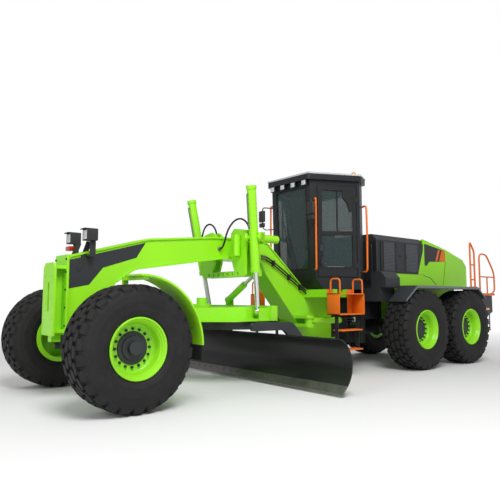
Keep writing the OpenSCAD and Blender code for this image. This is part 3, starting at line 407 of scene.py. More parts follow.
TYRE_R = 0.805
side_wall = [(0.351, 0.223), (0.397, 0.237), (0.412, 0.262), (0.440, 0.276), (0.470, 0.285), (0.476, 0.289),
             (0.484, 0.288), (0.53, 0.296), (0.585, 0.2995), (0.600, 0.300), (0.606, 0.2975), (0.650, 0.296),
             (0.690, 0.288), (0.720, 0.275), (0.744, 0.255), (0.757, 0.225), (0.763, 0.150), (0.765, 0.050)]
carcass = turned("carcass", side_wall + [(r, -y) for r, y in reversed(side_wall)])
BLOCKS = 26
rows = []
for side in (1, -1):
    inner = [(-0.062, 0.008), (0.030, 0.008), (0.062, 0.050), (0.050, 0.108), (-0.034, 0.108),
             (-0.066, 0.062)]
    middle_row = [(-0.058, 0.122), (0.040, 0.122), (0.062, 0.160), (0.050, 0.206), (-0.040, 0.206),
                  (-0.062, 0.166)]
    shoulder = [(-0.050, 0.218), (0.048, 0.218), (0.056, 0.250), (0.050, 0.284), (-0.046, 0.284),
                (-0.056, 0.250)]
    for outline, high, lag in ((inner, 0.8015, 0.0), (middle_row, 0.8010, 0.5), (shoulder, 0.793, 0.0)):
        shape = [(x * 1.30, side * y) for x, y in outline]
        block = raised("block", shape if side > 0 else shape[::-1], 0.690 if outline is shoulder else 0.752,
                       high, 0.93, 0.006)
        if outline is shoulder:
            for corner in block.data.vertices:
                out = max(0.0, abs(corner.co.y) - 0.225)
                corner.co.z -= out * (0.55 if corner.co.z > 0.75 else 0.30)
                corner.co.y = side * min(abs(corner.co.y), 0.286 if corner.co.z > 0.75 else 0.289)
        block.data.transform(Matrix.Rotation((lag + (0.25 if side < 0 else 0)) * math.tau / BLOCKS, 4, "Y"))
        rows.append(ringed(block, BLOCKS))
tyre = joined("tyre_pattern", [carcass] + rows)

rim_section = [(0.322, -0.262), (0.362, -0.265), (0.390, -0.262), (0.395, -0.252), (0.391, -0.239),
               (0.3505, -0.2255), (0.349, -0.150), (0.349, 0.150), (0.3505, 0.2255), (0.391, 0.239),
               (0.395, 0.252), (0.391, 0.261), (0.382, 0.265), (0.372, 0.262), (0.363, 0.250), (0.357, 0.236),
               (0.346, 0.232), (0.341, 0.222), (0.336, 0.208), (0.328, 0.200), (0.322, 0.190), (0.320, 0.110),
               (0.312, 0.080), (0.296, 0.064), (0.262, 0.056), (0.1206, 0.055), (0.1206, 0.025),
               (0.290, 0.026), (0.316, 0.034), (0.322, 0.010)]
rim = turned("rim_pattern", rim_section)
nut = raised("nut", ngon(0.019, 6), 0.0, 0.026, 0.98, 0.003)
stud = raised("stud", ngon(0.010, 10), 0.02, 0.040, 0.95, 0.002)
nuts = joined("nuts", [nut, stud])
nuts.data.transform(Matrix.Translation((0, 0.055, 0.240)) @ Matrix.Rotation(-math.pi / 2, 4, "X"))
nuts = ringed(nuts, 16)
valve = raised("valve", ngon(0.012, 10), 0.0, 0.07, 0.7, 0.002)
valve.data.transform(Matrix.Translation((0.30, 0.075, 0.0)) @ Matrix.Rotation(-math.pi / 2, 4, "X"))
# The charcoal disc is the hub, drawn wider than the hub as painted shade for the shadowed recess of the dish.
flange = turned("flange", [(0.122, 0.0545), (0.205, 0.0545), (0.210, 0.062), (0.203, 0.071), (0.165, 0.076),
                           (0.122, 0.076)])
nuts = joined("nut_and_shade_disc_pattern", [nuts, valve, flange])
wheel_x = {"front": 0.0, "middle": -6.440, "rear": -8.190}
wheel_y = {"front": 1.340, "middle": 1.290, "rear": 1.290}
for end, side in WHEELS:
    sign, turn = (1, 0) if side == "left" else (-1, math.pi)
    place = moved(wheel_x[end], sign * wheel_y[end], TYRE_R) @ Matrix.Rotation(turn, 4, "Z")
    wheel, name = "%s_%s_wheel" % (end, side), "%s_%s" % (end, side)
    finished(copied(tyre, name + "_lugged_tyre", place), rubber, wheel, name + "_tyre")
    finished(copied(rim, name + "_dished_rim", place), lime, wheel, name + "_rim")
    finished(copied(nuts, name + "_wheel_nuts_and_shade_disc", place), charcoal, wheel)
for pattern in (tyre, rim, nuts):
    bpy.data.objects.remove(pattern)

# Mud flaps: reinforced rubber sheets bolted to the rear edge of the front
# fenders, hanging behind the tyres.
REAR_WING_X, WING_Y = -0.905, (1.205, 1.625)


def panel(name, outline, y, thick, edge=0.0):
    """A plate on a side of the machine: outline of (x, z) from the front axle, outer face at y + thick."""
    side = 1 if y > 0 else -1
    flat = raised(name, [(AXLE_X + x, z) for x, z in outline], 0.0, thick, 1.0, edge)
    flat.data.transform(Matrix(((1, 0, 0, 0), (0, 0, side, y), (0, 1, 0, 0), (0, 0, 0, 1))))
    return settle(flat, 30)


def slab(name, low, high, edge, segments=2):
    """A bevelled block between two corners, from the front axle."""
    block = start(name, "cube", size=1)
    block.scale = [b - a for a, b in zip(low, high)]
    block.location = [AXLE_X * (i == 0) + (a + b) / 2 for i, (a, b) in enumerate(zip(low, high))]
    bpy.ops.object.transform_apply(location=True, rotation=True, scale=True)
    edit_all()
    bpy.ops.mesh.bevel(offset=edge, segments=segments, affect="EDGES")
    return settle(block, 40)


def mirrored(piece, name):
    return copied(piece, name, Matrix.Scale(-1, 4, (0, 1, 0)))


flap = slab("left_mud_flap", (REAR_WING_X - 0.026, WING_Y[0], 0.597), (REAR_WING_X - 0.001, WING_Y[1], 0.808),
            0.004)
finished(flap, rubber, "left_steer")
finished(mirrored(flap, "right_mud_flap"), rubber, "right_steer")

# Side panels: blank charcoal foil on both sides of the gooseneck nose and of
# the engine cowl, with two slanted orange bars and a green foil wedge.
NECK_Y, COWL_Y = 0.2, 0.7          # the sides of the gooseneck and of the cowl
nose_foil = [(0.385, 1.565), (0.385, 1.972), (-0.805, 2.292), (-0.650, 2.050), (-0.113, 1.877),
             (0.093, 1.624)]
cowl_foil = [(-7.745, 2.190), (-7.745, 2.700), (-8.640, 2.575), (-8.640, 2.316), (-7.936, 2.286),
             (-7.838, 2.187)]
thin_bar = [(-8.204, 2.315), (-8.332, 2.588), (-8.413, 2.588), (-8.284, 2.317)]
broad_bar = [(-8.364, 2.313), (-8.490, 2.580), (-8.636, 2.572), (-8.636, 2.318)]
wedge = [(-7.470, 1.974), (-7.699, 2.560), (-7.699, 1.974)]
for side, sign in zip(SIDES, (1, -1)):
    finished(panel(side + "_nose_foil", nose_foil, sign * NECK_Y, 0.002), charcoal, "front_body")
    finished(panel(side + "_cowl_foil", cowl_foil, sign * COWL_Y, 0.002), charcoal, "rear_body")
    for name, outline in (("_thin_bar", thin_bar), ("_broad_bar", broad_bar)):
        finished(panel(side + name, outline, sign * COWL_Y, 0.0035), orange, "rear_body")
    finished(panel(side + "_green_wedge", wedge, sign * COWL_Y, 0.002), lime, "rear_body")

# Lamps: moulded housings with clear polycarbonate lenses along the roof edge
# and on the nose, and an amber beacon on the roof.
lens = Finish("lamp_lens", "black_plastic")
rib = lens.wave("Y", 22.0)
lens.feed("Base Color", lens.blend(rib, (0.55, 0.57, 0.60, 1), (0.85, 0.86, 0.88, 1)))
lens.fixed(roughness=0.12, metallic=0.55, coat_weight=1.0, coat_roughness=0.03)
lens.bump(0.4, 0.003, rib)
amber = Finish("amber_lens", "black_plastic")
ring = amber.wave("Z", 26.0)
amber.feed("Base Color", amber.blend(ring, (0.70, 0.22, 0.01, 1), (0.95, 0.42, 0.03, 1)))
amber.fixed(roughness=0.15, coat_weight=1.0, coat_roughness=0.03)
amber.bump(0.3, 0.003, ring)
red = Finish("red_lens", "black_plastic")
red.feed("Base Color", red.blend(red.noise(60.0), (0.30, 0.008, 0.006, 1), (0.50, 0.014, 0.010, 1)))
red.fixed(roughness=0.15, coat_weight=1.0, coat_roughness=0.03)


def column(name, place, axis, section, steps=32):
    """A lathe piece whose axis runs along X, Y or Z through place, from (radius, height) points."""
    part = turned(name, section, steps)
    turn = {"X": Matrix.Rotation(-math.pi / 2, 4, "Z"), "Y": Matrix.Identity(4),
            "Z": Matrix.Rotation(math.pi / 2, 4, "X")}[axis]
    part.data.transform(moved(*place) @ turn)
    return part


housings, lenses = [], []
for y in (-0.45, -0.15, 0.15, 0.45):
    housings.append(slab("housing", (-4.085, y - 0.062, 3.612), (-4.045, y + 0.062, 3.7195), 0.010))
    lenses.append(slab("lens", (-4.050, y - 0.052, 3.622), (-4.038, y + 0.052, 3.710), 0.005))
housings.append(column("foot", (-5.25, 0.70, 3.8505), "Z",
                       [(0.001, 0), (0.062, 0), (0.064, 0.020), (0.056, 0.032), (0.001, 0.034)]))
finished(joined("roof_lamp_housings", housings), plastic, "front_body", "cab_lamps")
finished(joined("roof_lamp_lenses", lenses), lens, "front_body")
finished(column("beacon", (-5.25, 0.70, 3.884), "Z", [(0.001, 0), (0.051, 0), (0.053, 0.012), (0.050, 0.070),
                                                      (0.044, 0.104), (0.028, 0.122), (0.001, 0.126)]), amber,
         "front_body")
for side, sign in zip(SIDES, (1, -1)):
    low, high = sorted((sign * 0.240, sign * 0.390))
    cover = [slab("brow", (0.10, low - 0.012, 2.408), (0.262, high + 0.012, 2.4215), 0.005)]
    for k in range(6):
        cover.append(slab("fin", (0.050, low + 0.004, 2.262 + 0.026 * k),
                          (0.190, high - 0.004, 2.272 + 0.026 * k), 0.003))
        cover.append(slab("rib", (0.070 + 0.022 * k, low - 0.012, 2.262),
                          (0.079 + 0.022 * k, high + 0.012, 2.412), 0.003))
    bracket = panel("bracket", [(0.062, 2.250), (0.150, 2.250), (0.285, 1.850), (0.262, 1.815),
                                (0.222, 1.830)], sign * 0.201, 0.014, 0.003)
    cover.append(bracket)
    finished(joined(side + "_head_lamp_cover", cover), plastic, "front_body")
    glass_front = slab("lens", (0.207, low + 0.008, 2.268), (0.222, high - 0.008, 2.398), 0.006)
    finished(joined(side + "_head_lamp_lens", [glass_front]), lens, "front_body")
turn_light = [slab("turn_light", (0.150, -0.396, 2.140), (0.236, -0.246, 2.212), 0.012, 3),
              slab("tail", (0.100, -0.330, 2.150), (0.160, -0.306, 2.200), 0.004)]
finished(joined("right_turn_light", turn_light), red, "front_body")

# Operator seat: sewn fabric pads on a moulded frame over a suspension bellows,
# with two armrest pods and a steering column, all bolted to the cab floor.
fabric = Finish("seat_fabric")
twill = fabric.wave("DIAGONAL", 150.0, 1.5)
fuzz = fabric.noise(220.0, 3.0)
fabric.feed("Base Color", fabric.blend(twill * fuzz, (0.006, 0.006, 0.007, 1), (0.040, 0.041, 0.044, 1)))
fabric.feed("Roughness", fuzz * 0.15 + 0.78)
fabric.bump(0.4, 0.002, twill)


def cushion(name, size, crown, seams, place):
    """A crowned pad, its sides drawn in between the corners and its face pulled down along the seams."""
    pad = start(name, "cube", size=2)
    edit_all()
    bpy.ops.mesh.subdivide(number_cuts=17)
    bpy.ops.object.mode_set(mode="OBJECT")
    for corner in pad.data.vertices:
        u, v, w = corner.co
        pull = 1 - 0.05 * (1 - abs(w)) - 0.035 * (1 - v * v)
        side = 1 - 0.035 * (1 - u * u)
        round_off = 1 - 0.10 * max(abs(u), abs(v)) ** 6
        lift = crown * (1 - u * u) * (1 - v * v) if w > 0 else 0.0
        dent = sum(0.014 * math.exp(-((v - s) / 0.05) ** 2) for s in seams) if w > 0.5 else 0.0
        corner.co = (u * size[0] / 2 * pull, v * size[1] / 2 * side, w * size[2] / 2 * round_off + lift
                     - dent)
    modified(pad, "SUBSURF", levels=1, render_levels=1)
    pad.data.transform(place)
    return settle(pad, 60)


seat_pad = cushion("seat_cushion", (0.49, 0.51, 0.135), 0.012, (-0.55, 0.55),
                   moved(-4.85, 0, 2.065))
finished(seat_pad, fabric, "front_body", "operator_seat")
lean = Matrix(((-0.150, 0, 0.989, AXLE_X - 5.09), (0, -1, 0, 0), (0.989, 0, 0.150, 2.475), (0, 0, 0, 1)))
back_pad = cushion("seat_backrest", (0.65, 0.49, 0.105), 0.010, (-0.5, 0.5), lean)
finished(back_pad, fabric, "front_body")
seat_frame = [slab("tray", (-5.09, -0.25, 1.988), (-4.61, 0.25, 2.010), 0.008)]
for k in range(6):
    inset = 0.012 * (k % 2)
    seat_frame.append(slab("bellows", (-5.045 + inset, -0.178 + inset, 1.652 + 0.056 * k),
                           (-4.725 - inset, 0.178 - inset, 1.708 + 0.056 * k), 0.010))
for sign in (1, -1):
    low, high = sorted((sign * 0.302, sign * 0.398))
    seat_frame.append(slab("pod", (-4.995, low, 2.255), (-4.505, high, 2.345), 0.028, 4))
    low, high = sorted((sign * 0.245, sign * 0.320))
    seat_frame.append(slab("bracket", (-4.99, low, 2.13), (-4.91, high, 2.27), 0.012))
    for x in (-4.58, -4.66):
        seat_frame.append(column("lever", (x, sign * 0.35, 2.340), "Z",
                                 [(0.001, 0), (0.006, 0), (0.005, 0.05), (0.016, 0.055), (0.014, 0.085),
                                  (0.001, 0.09)], 12))
seat_frame.append(slab("foot", (-4.558, -0.068, 1.652), (-4.442, 0.068, 1.730), 0.012))
post = turned("post", [(0.001, 0), (0.046, 0), (0.044, 0.05), (0.036, 0.06), (0.036, 0.60), (0.044, 0.63),
                       (0.040, 0.70), (0.001, 0.72)], 24)
post.data.transform(moved(-4.49, 0, 1.70) @ Matrix.Rotation(math.radians(-4.2), 4, "Y")
                    @ Matrix.Rotation(math.pi / 2, 4, "X"))
seat_frame.append(post)
hoop = turned("hoop", [(0.176 + 0.013 * math.cos(k * math.pi / 5), 0.013 * math.sin(k * math.pi / 5))
                       for k in range(10)], 48)
spoke = slab("spoke", (-AXLE_X - 0.010, -0.006, 0.02), (-AXLE_X + 0.010, 0.006, 0.170), 0.004)
wheel_grip = joined("wheel_grip", [hoop, ringed(spoke, 3)])
wheel_grip.data.transform(moved(-4.54, 0, 2.410)
                          @ Matrix.Rotation(math.radians(-12), 4, "Y") @ Matrix.Rotation(math.pi / 2, 4, "X"))
seat_frame.append(wheel_grip)
finished(joined("seat_frame_and_column", seat_frame), plastic, "front_body")

# Cab seals and door furniture: black rubber profiles around each pane, the
# frame of the sliding window, a pull handle and an alloy sill strip.
UPRIGHT = Matrix(((1, 0, 0, 0), (0, 0, 1, 0), (0, 1, 0, 0), (0, 0, 0, 1)))     # facing left
FORWARD = Matrix(((0, 0, 1, 0), (1, 0, 0, 0), (0, 1, 0, 0), (0, 0, 0, 1)))
BACKWARD = Matrix(((0, 0, -1, 0), (-1, 0, 0, 0), (0, 1, 0, 0), (0, 0, 0, 1)))
DOOR = moved(-5.05, 1.0) @ Matrix.Rotation(math.radians(-26.3), 4, "Z")
FROM_AXLE = moved(0)


def soft_box(a0, a1, b0, b1, radius, steps=4):
    """The outline of a rectangle with rounded corners."""
    corners = ((a1 - radius, b0 + radius, -90), (a1 - radius, b1 - radius, 0), (a0 + radius, b1 - radius, 90),
               (a0 + radius, b0 + radius, 180))
    return [(a + radius * math.cos(math.radians(turn + 90 * k / steps)),
             b + radius * math.sin(math.radians(turn + 90 * k / steps)))
            for a, b, turn in corners for k in range(steps + 1)]


def gasket(name, outline, width, low, high, place):
    """A flat ring of one width along an outline, from height low to high, then put in place."""
    ring = start(name, "circle", vertices=len(outline), fill_type="NGON")
    for corner, (a, b) in zip(ring.data.vertices, outline):
        corner.co = (a, b, low)
    edit_all()
    bpy.ops.mesh.inset(thickness=width)
    bpy.ops.mesh.delete(type="FACE")
    bpy.ops.mesh.select_all(action="SELECT")
    bpy.ops.mesh.extrude_region_move(TRANSFORM_OT_translate={"value": (0, 0, high - low)})
    bpy.ops.object.mode_set(mode="OBJECT")
    ring.data.transform(place)
    return settle(ring, 30)


def plate(name, outline, low, high, place, edge=0.002):
    """A flat plate on an outline, from height low to high, then put in place."""
    flat = raised(name, outline, low, high, 1.0, edge)
    flat.data.transform(place)
    return settle(flat, 30)


def bent(route, radius, steps=6):
    """The points of a route with its corners rounded."""
    made = [Vector(route[0])]
    for before, corner, after in zip(route, route[1:], route[2:]):
        corner = Vector(corner)
        back, on = Vector(before) - corner, Vector(after) - corner
        reach = min(radius, back.length * 0.45, on.length * 0.45)
        first, last = corner + back.normalized() * reach, corner + on.normalized() * reach
        made += [(1 - k / steps) ** 2 * first + 2 * k / steps * (1 - k / steps) * corner
                 + (k / steps) ** 2 * last for k in range(steps + 1)]
    return made + [Vector(route[-1])]


def tube(name, route, radius, place=FROM_AXLE, rounds=3):
    """A round tube with closed ends along a route of points."""
    line = bpy.data.curves.new(name, "CURVE")
    line.dimensions = "3D"
    line.bevel_depth, line.bevel_resolution, line.use_fill_caps = radius, rounds, True
    thread = line.splines.new("POLY")
    thread.points.add(len(route) - 1)
    for knot, spot in zip(thread.points, route):
        knot.co = (*(place @ Vector(spot)), 1)
    piece = bpy.data.objects.new(name, line)
    scene.collection.objects.link(piece)
    only(piece)
    bpy.ops.object.convert(target="MESH")
    made = bpy.context.object
    made.name = made.data.name = name
    return settle(made, 50)


def both_sides(name, pieces, finish, bodies, *replaced):
    """The pieces as one on the left and its mirror on the right, each on its own body."""
    left = joined("left_" + name, pieces)
    right = mirrored(left, "right_" + name)
    finished(left, finish, bodies[0], *replaced)
    finished(right, finish, bodies[1])


DOORS = ("left_door_body", "right_door_body")
FRONT, REAR = ("front_body", "front_body"), ("rear_body", "rear_body")
on_door = DOOR @ UPRIGHT
seals = [gasket("seal", soft_box(0.126, 0.824, 1.996, 3.564, 0.060), 0.034, -0.004, 0.006, on_door),
         plate("bar", soft_box(0.135, 0.815, 2.655, 2.725, 0.010), -0.032, 0.004, on_door),
         plate("upright", soft_box(0.462, 0.480, 2.725, 3.545, 0.004), -0.032, 0.002, on_door),
         plate("corner", [(0.138, 3.552), (0.138, 3.150), (0.215, 3.110), (0.255, 3.270), (0.350, 3.390),
                          (0.370, 3.552)], -0.032, 0.003, on_door),
         gasket("edge", soft_box(0.074, 0.876, 1.846, 3.624, 0.030), 0.014, -0.002, 0.004, on_door)]
both_sides("door_seals", seals, rubber, DOORS)
sill = [plate("sill", soft_box(0.340, 0.690, 2.030, 2.050, 0.004), -0.004, 0.008, on_door),
        plate("catch", soft_box(0.165, 0.450, 2.738, 2.756, 0.004), -0.030, 0.006, on_door)]
both_sides("door_strips", sill, steel, DOORS)
pull = tube("pull", bent([(0.835, -0.004, 2.06), (0.835, 0.050, 2.08), (0.790, 0.050, 2.26),
                          (0.785, -0.004, 2.29)], 0.03), 0.011, DOOR)
latch = plate("latch", soft_box(0.770, 0.850, 2.33, 2.45, 0.015), -0.002, 0.018, on_door, 0.006)
both_sides("door_handle", [pull, latch], plastic, DOORS)

screen = Matrix(((0, 0.0527, 0.9986, AXLE_X - 4.215), (1, 0, 0, 0), (0, 0.9986, -0.0527, 1.92), (0, 0, 0, 1)))
front_seals = [gasket("seal", soft_box(-0.448, 0.448, 0.052, 1.702, 0.075), 0.036, -0.004, 0.007, screen),
               tube("arm", bent([(0.06, 0.015, 0.0), (0.06, 0.020, 0.036), (0.02, 0.10, 0.036),
                                 (-0.16, 0.74, 0.030)], 0.02), 0.009, screen),
               tube("blade", [(-0.10, 0.36, 0.014), (-0.13, 0.55, 0.016), (-0.19, 0.90, 0.016),
                              (-0.22, 1.10, 0.014)], 0.008, screen)]
cap = column("cap", (0, 0, 0), "Z", [(0.001, 0), (0.030, 0), (0.028, 0.014), (0.014, 0.024), (0.001, 0.026)],
             20)
cap.data.transform(screen @ Matrix.Translation((0.06 - AXLE_X, 0.015, 0.0)))
finished(joined("windscreen_seal_and_wiper", front_seals + [cap]), rubber, "front_body")
behind = moved(-5.35) @ BACKWARD
finished(gasket("rear_window_seal", soft_box(-0.658, 0.658, 2.132, 3.588, 0.075), 0.036, -0.004, 0.006,
                behind), rubber, "front_body")

# Roof rim: a pale pressed steel skin folded over the top edge of the cab roof
# and bonded down all round.
pale = painted("pale_roof_skin", (0.42, 0.44, 0.45), gloss=0.40, coat=0.2, slot="charcoal_paint")
roof_line = [(-4.036, 0.592), (-5.030, 1.064), (-5.424, 0.862), (-5.424, -0.862), (-5.030, -1.064),
             (-4.036, -0.592)]
skin = plate("roof_skin", roof_line, 3.826, 3.862, FROM_AXLE, 0.010)
finished(skin, pale, "front_body")

# Mirrors: two moulded shells with convex glass on a bent arm at each front
# pillar, the glass facing the operator.
arm = bent([(-4.146, 0.552, 3.300), (-3.990, 0.700, 3.320), (-3.990, 0.700, 2.930)], 0.06)
stay = bent([(-4.168, 0.560, 2.860), (-4.05, 0.69, 2.850), (-3.985, 0.700, 2.915)], 0.06)
shells = [slab("main_shell", (-4.008, 0.622, 3.010), (-3.952, 0.788, 3.249), 0.022, 4),
          slab("low_shell", (-4.008, 0.630, 2.902), (-3.956, 0.780, 2.995), 0.020, 4),
          tube("arm", arm, 0.012), tube("stay", stay, 0.010)]
both_sides("mirror_shells", shells, plastic, FRONT, "mirrors")
mirror_glass = [slab("main_glass", (-4.013, 0.640, 3.028), (-4.004, 0.770, 3.231), 0.003),
                slab("low_glass", (-4.012, 0.646, 2.916), (-4.004, 0.764, 2.981), 0.003)]
both_sides("mirror_glass", mirror_glass, chrome, FRONT)

# Grab rails: bent round tube in safety orange, welded to foot plates on the
# cab, on the walkway and on the rear platforms.
grips = [tube("front_grip", bent([(0.94, 0.0, 1.98), (0.94, 0.072, 1.98), (0.94, 0.072, 3.35),
                                  (0.94, 0.0, 3.35)], 0.05), 0.019, DOOR, 4),
         tube("rear_grip", bent([(-0.12, -0.150, 1.95), (-0.12, 0.040, 1.95), (-0.12, 0.060, 2.70),
                                 (-0.12, 0.040, 3.25), (-0.12, -0.150, 3.25)], 0.12), 0.019, DOOR, 4)]
both_sides("cab_grips", grips, orange, FRONT, "cab_handrails")

STEP_X, PLATFORM = (-10.018, -9.302), (0.902, 1.218)
RAIL_Y, TAIL_Y, TUBE_R, BAR_R = 1.45, 1.16, 0.020, 0.017


def at_y(y, route):
    return [(x, y, z) for x, z in route]


walk_rail = at_y(RAIL_Y, [(-8.419, 1.690), (-8.419, 2.728), (-8.601, 2.520), (-8.601, 1.690)])
tail_rail = at_y(TAIL_Y, [(-9.399, 1.555), (-9.399, 2.521), (-9.752, 2.521), (-10.130, 2.073),
                          (-10.130, 1.625), (-9.985, 1.552)])
rails = [tube("walk_rail", bent(walk_rail, 0.07), TUBE_R, rounds=4),
         tube("walk_bar", at_y(RAIL_Y, [(-8.419, 2.20), (-8.601, 2.20)]), BAR_R),
         tube("walk_bar", at_y(RAIL_Y, [(-8.419, 1.86), (-8.601, 1.86)]), BAR_R),
         tube("tail_rail", bent(tail_rail, 0.14), TUBE_R, rounds=4),
         tube("tail_bar", at_y(TAIL_Y, [(-9.399, 1.96), (-10.130, 1.96)]), BAR_R),
         tube("tail_post", at_y(TAIL_Y, [(-9.76, 1.555), (-9.76, 1.96)]), BAR_R),
         slab("platform", (STEP_X[0], PLATFORM[0], 1.502), (STEP_X[1], PLATFORM[1], 1.556), 0.006)]
for x in (-8.419, -8.601):
    rails.append(column("foot", (x, RAIL_Y, 1.690), "Z", [(0.001, 0), (0.042, 0), (0.042, 0.010),
                                                        (0.022, 0.014), (0.001, 0.014)], 20))


def gridded(piece, *runs):
    """Repeats a piece along straight runs of (count, step)."""
    for count, step in runs:
        modified(piece, "ARRAY", count=count, use_relative_offset=False, use_constant_offset=True,
                 constant_offset_displace=step)
    return piece


def studs(place, long_run, cross_run, radius=0.012, high=0.005):
    """Rows of pressed grip studs from a first place."""
    ring = ngon(radius, 6, AXLE_X + place[0], place[1])
    return gridded(raised("stud", ring, place[2], place[2] + high, 0.7, 0), long_run, cross_run)


rails.append(studs((-9.98, 0.94, 1.555), (13, (0.054, 0, 0)), (5, (0, 0.055, 0))))
both_sides("walk_and_tail_rails", rails, orange, REAR, "rear_rails")

# Ladders: welded step boxes in orange plate with an open back, hung on the
# outriggers, with studded treads on black stringers below and tube hoops.
LADDER_X, LADDER_Y = (-4.830, -4.120), (0.950, 1.250)
steps_made = []
for z in (1.130, 1.500):
    steps_made.append(slab("floor", (LADDER_X[0], LADDER_Y[0], z), (LADDER_X[1], LADDER_Y[1], z + 0.020),
                           0.003))
    steps_made.append(studs((LADDER_X[0] + 0.04, LADDER_Y[0] + 0.035, z + 0.019), (12, (0.057, 0, 0)),
                            (6, (0, 0.046, 0)), 0.010))
for x in (LADDER_X[0], LADDER_X[1] - 0.015):
    steps_made.append(slab("end", (x, LADDER_Y[0], 1.130), (x + 0.015, LADDER_Y[1], 1.520), 0.003))
for x in (LADDER_X[0], LADDER_X[1] - 0.150):
    steps_made.append(slab("strap", (x, LADDER_Y[0], 1.130), (x + 0.150, LADDER_Y[0] + 0.012, 1.598), 0.003))
for x in (LADDER_X[0] + 0.04, LADDER_X[1] - 0.04):
    steps_made.append(tube("hoop", bent([(x, 1.230, 1.515), (x, 1.230, 1.787), (x, 1.010, 1.787),
                                         (x, 1.010, 1.515)], 0.07), 0.0155, rounds=4))
for z in (0.490, 0.840):
    steps_made.append(slab("tread", (LADDER_X[0] + 0.06, 1.042, z), (LADDER_X[1] - 0.06, 1.248, z + 0.024),
                           0.004))
    steps_made.append(studs((LADDER_X[0] + 0.09, 1.075, z + 0.023), (10, (0.058, 0, 0)), (4, (0, 0.044, 0)),
                            0.010))
both_sides("ladder_steps", steps_made, orange, FRONT, "cab_ladders")
stringers = [slab("stringer", (x, 1.080, 0.490), (x + 0.018, 1.160, 1.142), 0.004)
             for x in (LADDER_X[0] + 0.058, LADDER_X[1] - 0.076)]
both_sides("ladder_stringers", stringers, slate, FRONT)

# Engine cowl doors: pressed frames with woven wire screens and flush latches,
# a black grab strip beside the first door and a black firewall in front.
COWL_SIDE = moved(0, COWL_Y) @ UPRIGHT
COWL_FRONT = moved(-5.95) @ FORWARD


def wire_screen(name, a, b, pitch, wire, place):
    """A woven screen between a[0]..a[1] and b[0]..b[1], made with a Wireframe modifier."""
    sheet = start(name, "grid", x_subdivisions=round((a[1] - a[0]) / pitch),
                  y_subdivisions=round((b[1] - b[0]) / pitch), size=1)
    sheet.data.transform(Matrix.Translation(((a[0] + a[1]) / 2, (b[0] + b[1]) / 2, 0))
                         @ Matrix.Diagonal((a[1] - a[0], b[1] - b[0], 1, 1)))
    modified(sheet, "WIREFRAME", thickness=wire, use_replace=True)
    sheet.data.transform(place)
    return settle(sheet, 30)


door_lines = (soft_box(-6.600, -6.010, 2.000, 2.668, 0.020), soft_box(-6.962, -6.628, 2.000, 2.668, 0.020),
              [(-6.990, 2.000), (-7.455, 2.000), (-7.640, 2.668), (-6.990, 2.668)])
frames = [gasket("door", outline, 0.020, -0.002, 0.006, COWL_SIDE) for outline in door_lines]
both_sides("cowl_door_frames", frames, charcoal, REAR)
mesh_grey = painted("screen_grey", (0.125, 0.138, 0.150), gloss=0.35, coat=0.1, slot="charcoal_paint")
IN_POCKET = COWL_SIDE @ Matrix.Translation((0, 0, -0.003))
screens = [wire_screen("screen", run, (2.032, 2.648), 0.031, 0.010, IN_POCKET)
           for run in ((-6.578, -6.202), (-7.458, -7.022))]
both_sides("cowl_screens", screens, mesh_grey, REAR)
hardware = [plate("grab", soft_box(-6.170, -6.085, 2.030, 2.645, 0.035), -0.002, 0.014, COWL_SIDE, 0.005),
            gasket("rim", soft_box(-6.176, -6.079, 2.024, 2.651, 0.040), 0.016, -0.002, 0.022, COWL_SIDE)]
for x, z in ((-6.80, 2.36), (-6.655, 2.10), (-6.655, 2.58), (-7.015, 2.34)):
    hardware.append(column("latch", (x, 0.698, z), "Y", [(0.001, 0), (0.022, 0), (0.024, 0.010),
                                                         (0.014, 0.016), (0.012, 0.024), (0.001, 0.026)], 16))
both_sides("cowl_hardware", hardware, plastic, REAR)
firewall = [plate("firewall", soft_box(-0.697, 0.697, 1.693, 2.660, 0.010), 0.000, 0.006, COWL_FRONT)]
for y in (-0.45, 0.0, 0.45):
    firewall.append(plate("swage", soft_box(y - 0.14, y + 0.14, 1.80, 2.58, 0.04), 0.004, 0.016, COWL_FRONT,
                          0.006))
finished(joined("firewall", firewall), slate, "rear_body")

# Cowl tail: a wire screen in a bolted frame over the radiator outlet, with a
# hood seam line, a rear lamp bar on the bumper and a hung boarding step.
COWL_TAIL = moved(-9.90) @ BACKWARD
tail_grille = [gasket("frame", soft_box(-0.430, 0.430, 1.745, 2.225, 0.030), 0.030, -0.002, 0.010, COWL_TAIL),
               wire_screen("screen", (-0.402, 0.402), (1.773, 2.197), 0.040, 0.010, COWL_TAIL)]
finished(joined("tail_grille", tail_grille), charcoal, "rear_body")
SEAM = 0.0025
straight_seams = ((-8.506, 1.74, -8.640, 2.310), (-6.90, 1.945, -7.70, 1.952))
hood_seams = [panel("seam", [(a, z0), (a - 0.012, z0), (b - 0.012, z1), (b, z1)], COWL_Y, SEAM)
              for a, z0, b, z1 in straight_seams]
hood_seams += [panel("seam", [(-7.70, 1.952), (-7.70, 1.962), (-7.98, 1.912), (-8.205, 1.752),
                              (-8.215, 1.743), (-8.19, 1.743), (-7.972, 1.902)], COWL_Y, SEAM)]
both_sides("hood_seams", hood_seams, black, REAR)
red_lenses = [slab("lens", (-9.934, 1.010, 1.340), (-9.923, 1.142, 1.430), 0.005, 3)]
both_sides("tail_lens", red_lenses, red, REAR)
amber_lenses = [slab("lens", (-9.934, 0.938, 1.340), (-9.923, 1.004, 1.430), 0.005, 3),
                slab("marker", (-9.74, 1.198, 1.150), (-9.52, 1.206, 1.200), 0.003)]
both_sides("tail_flasher", amber_lenses, amber, REAR)
hung_step = [slab("tread", (-9.895, 0.955, 0.640), (-9.640, 1.150, 0.664), 0.004),
             studs((-9.865, 0.985, 0.663), (5, (0.05, 0, 0)), (4, (0, 0.045, 0)), 0.010)]
both_sides("hung_step", hung_step, orange, REAR)
hangers = [slab("hanger", (x, y, 0.645), (x + 0.045, y + 0.010, top), 0.003)
           for x in (-9.880, -9.700) for y, top in ((0.962, 0.915), (1.132, 1.052))]
both_sides("step_hangers", hangers, slate, REAR)
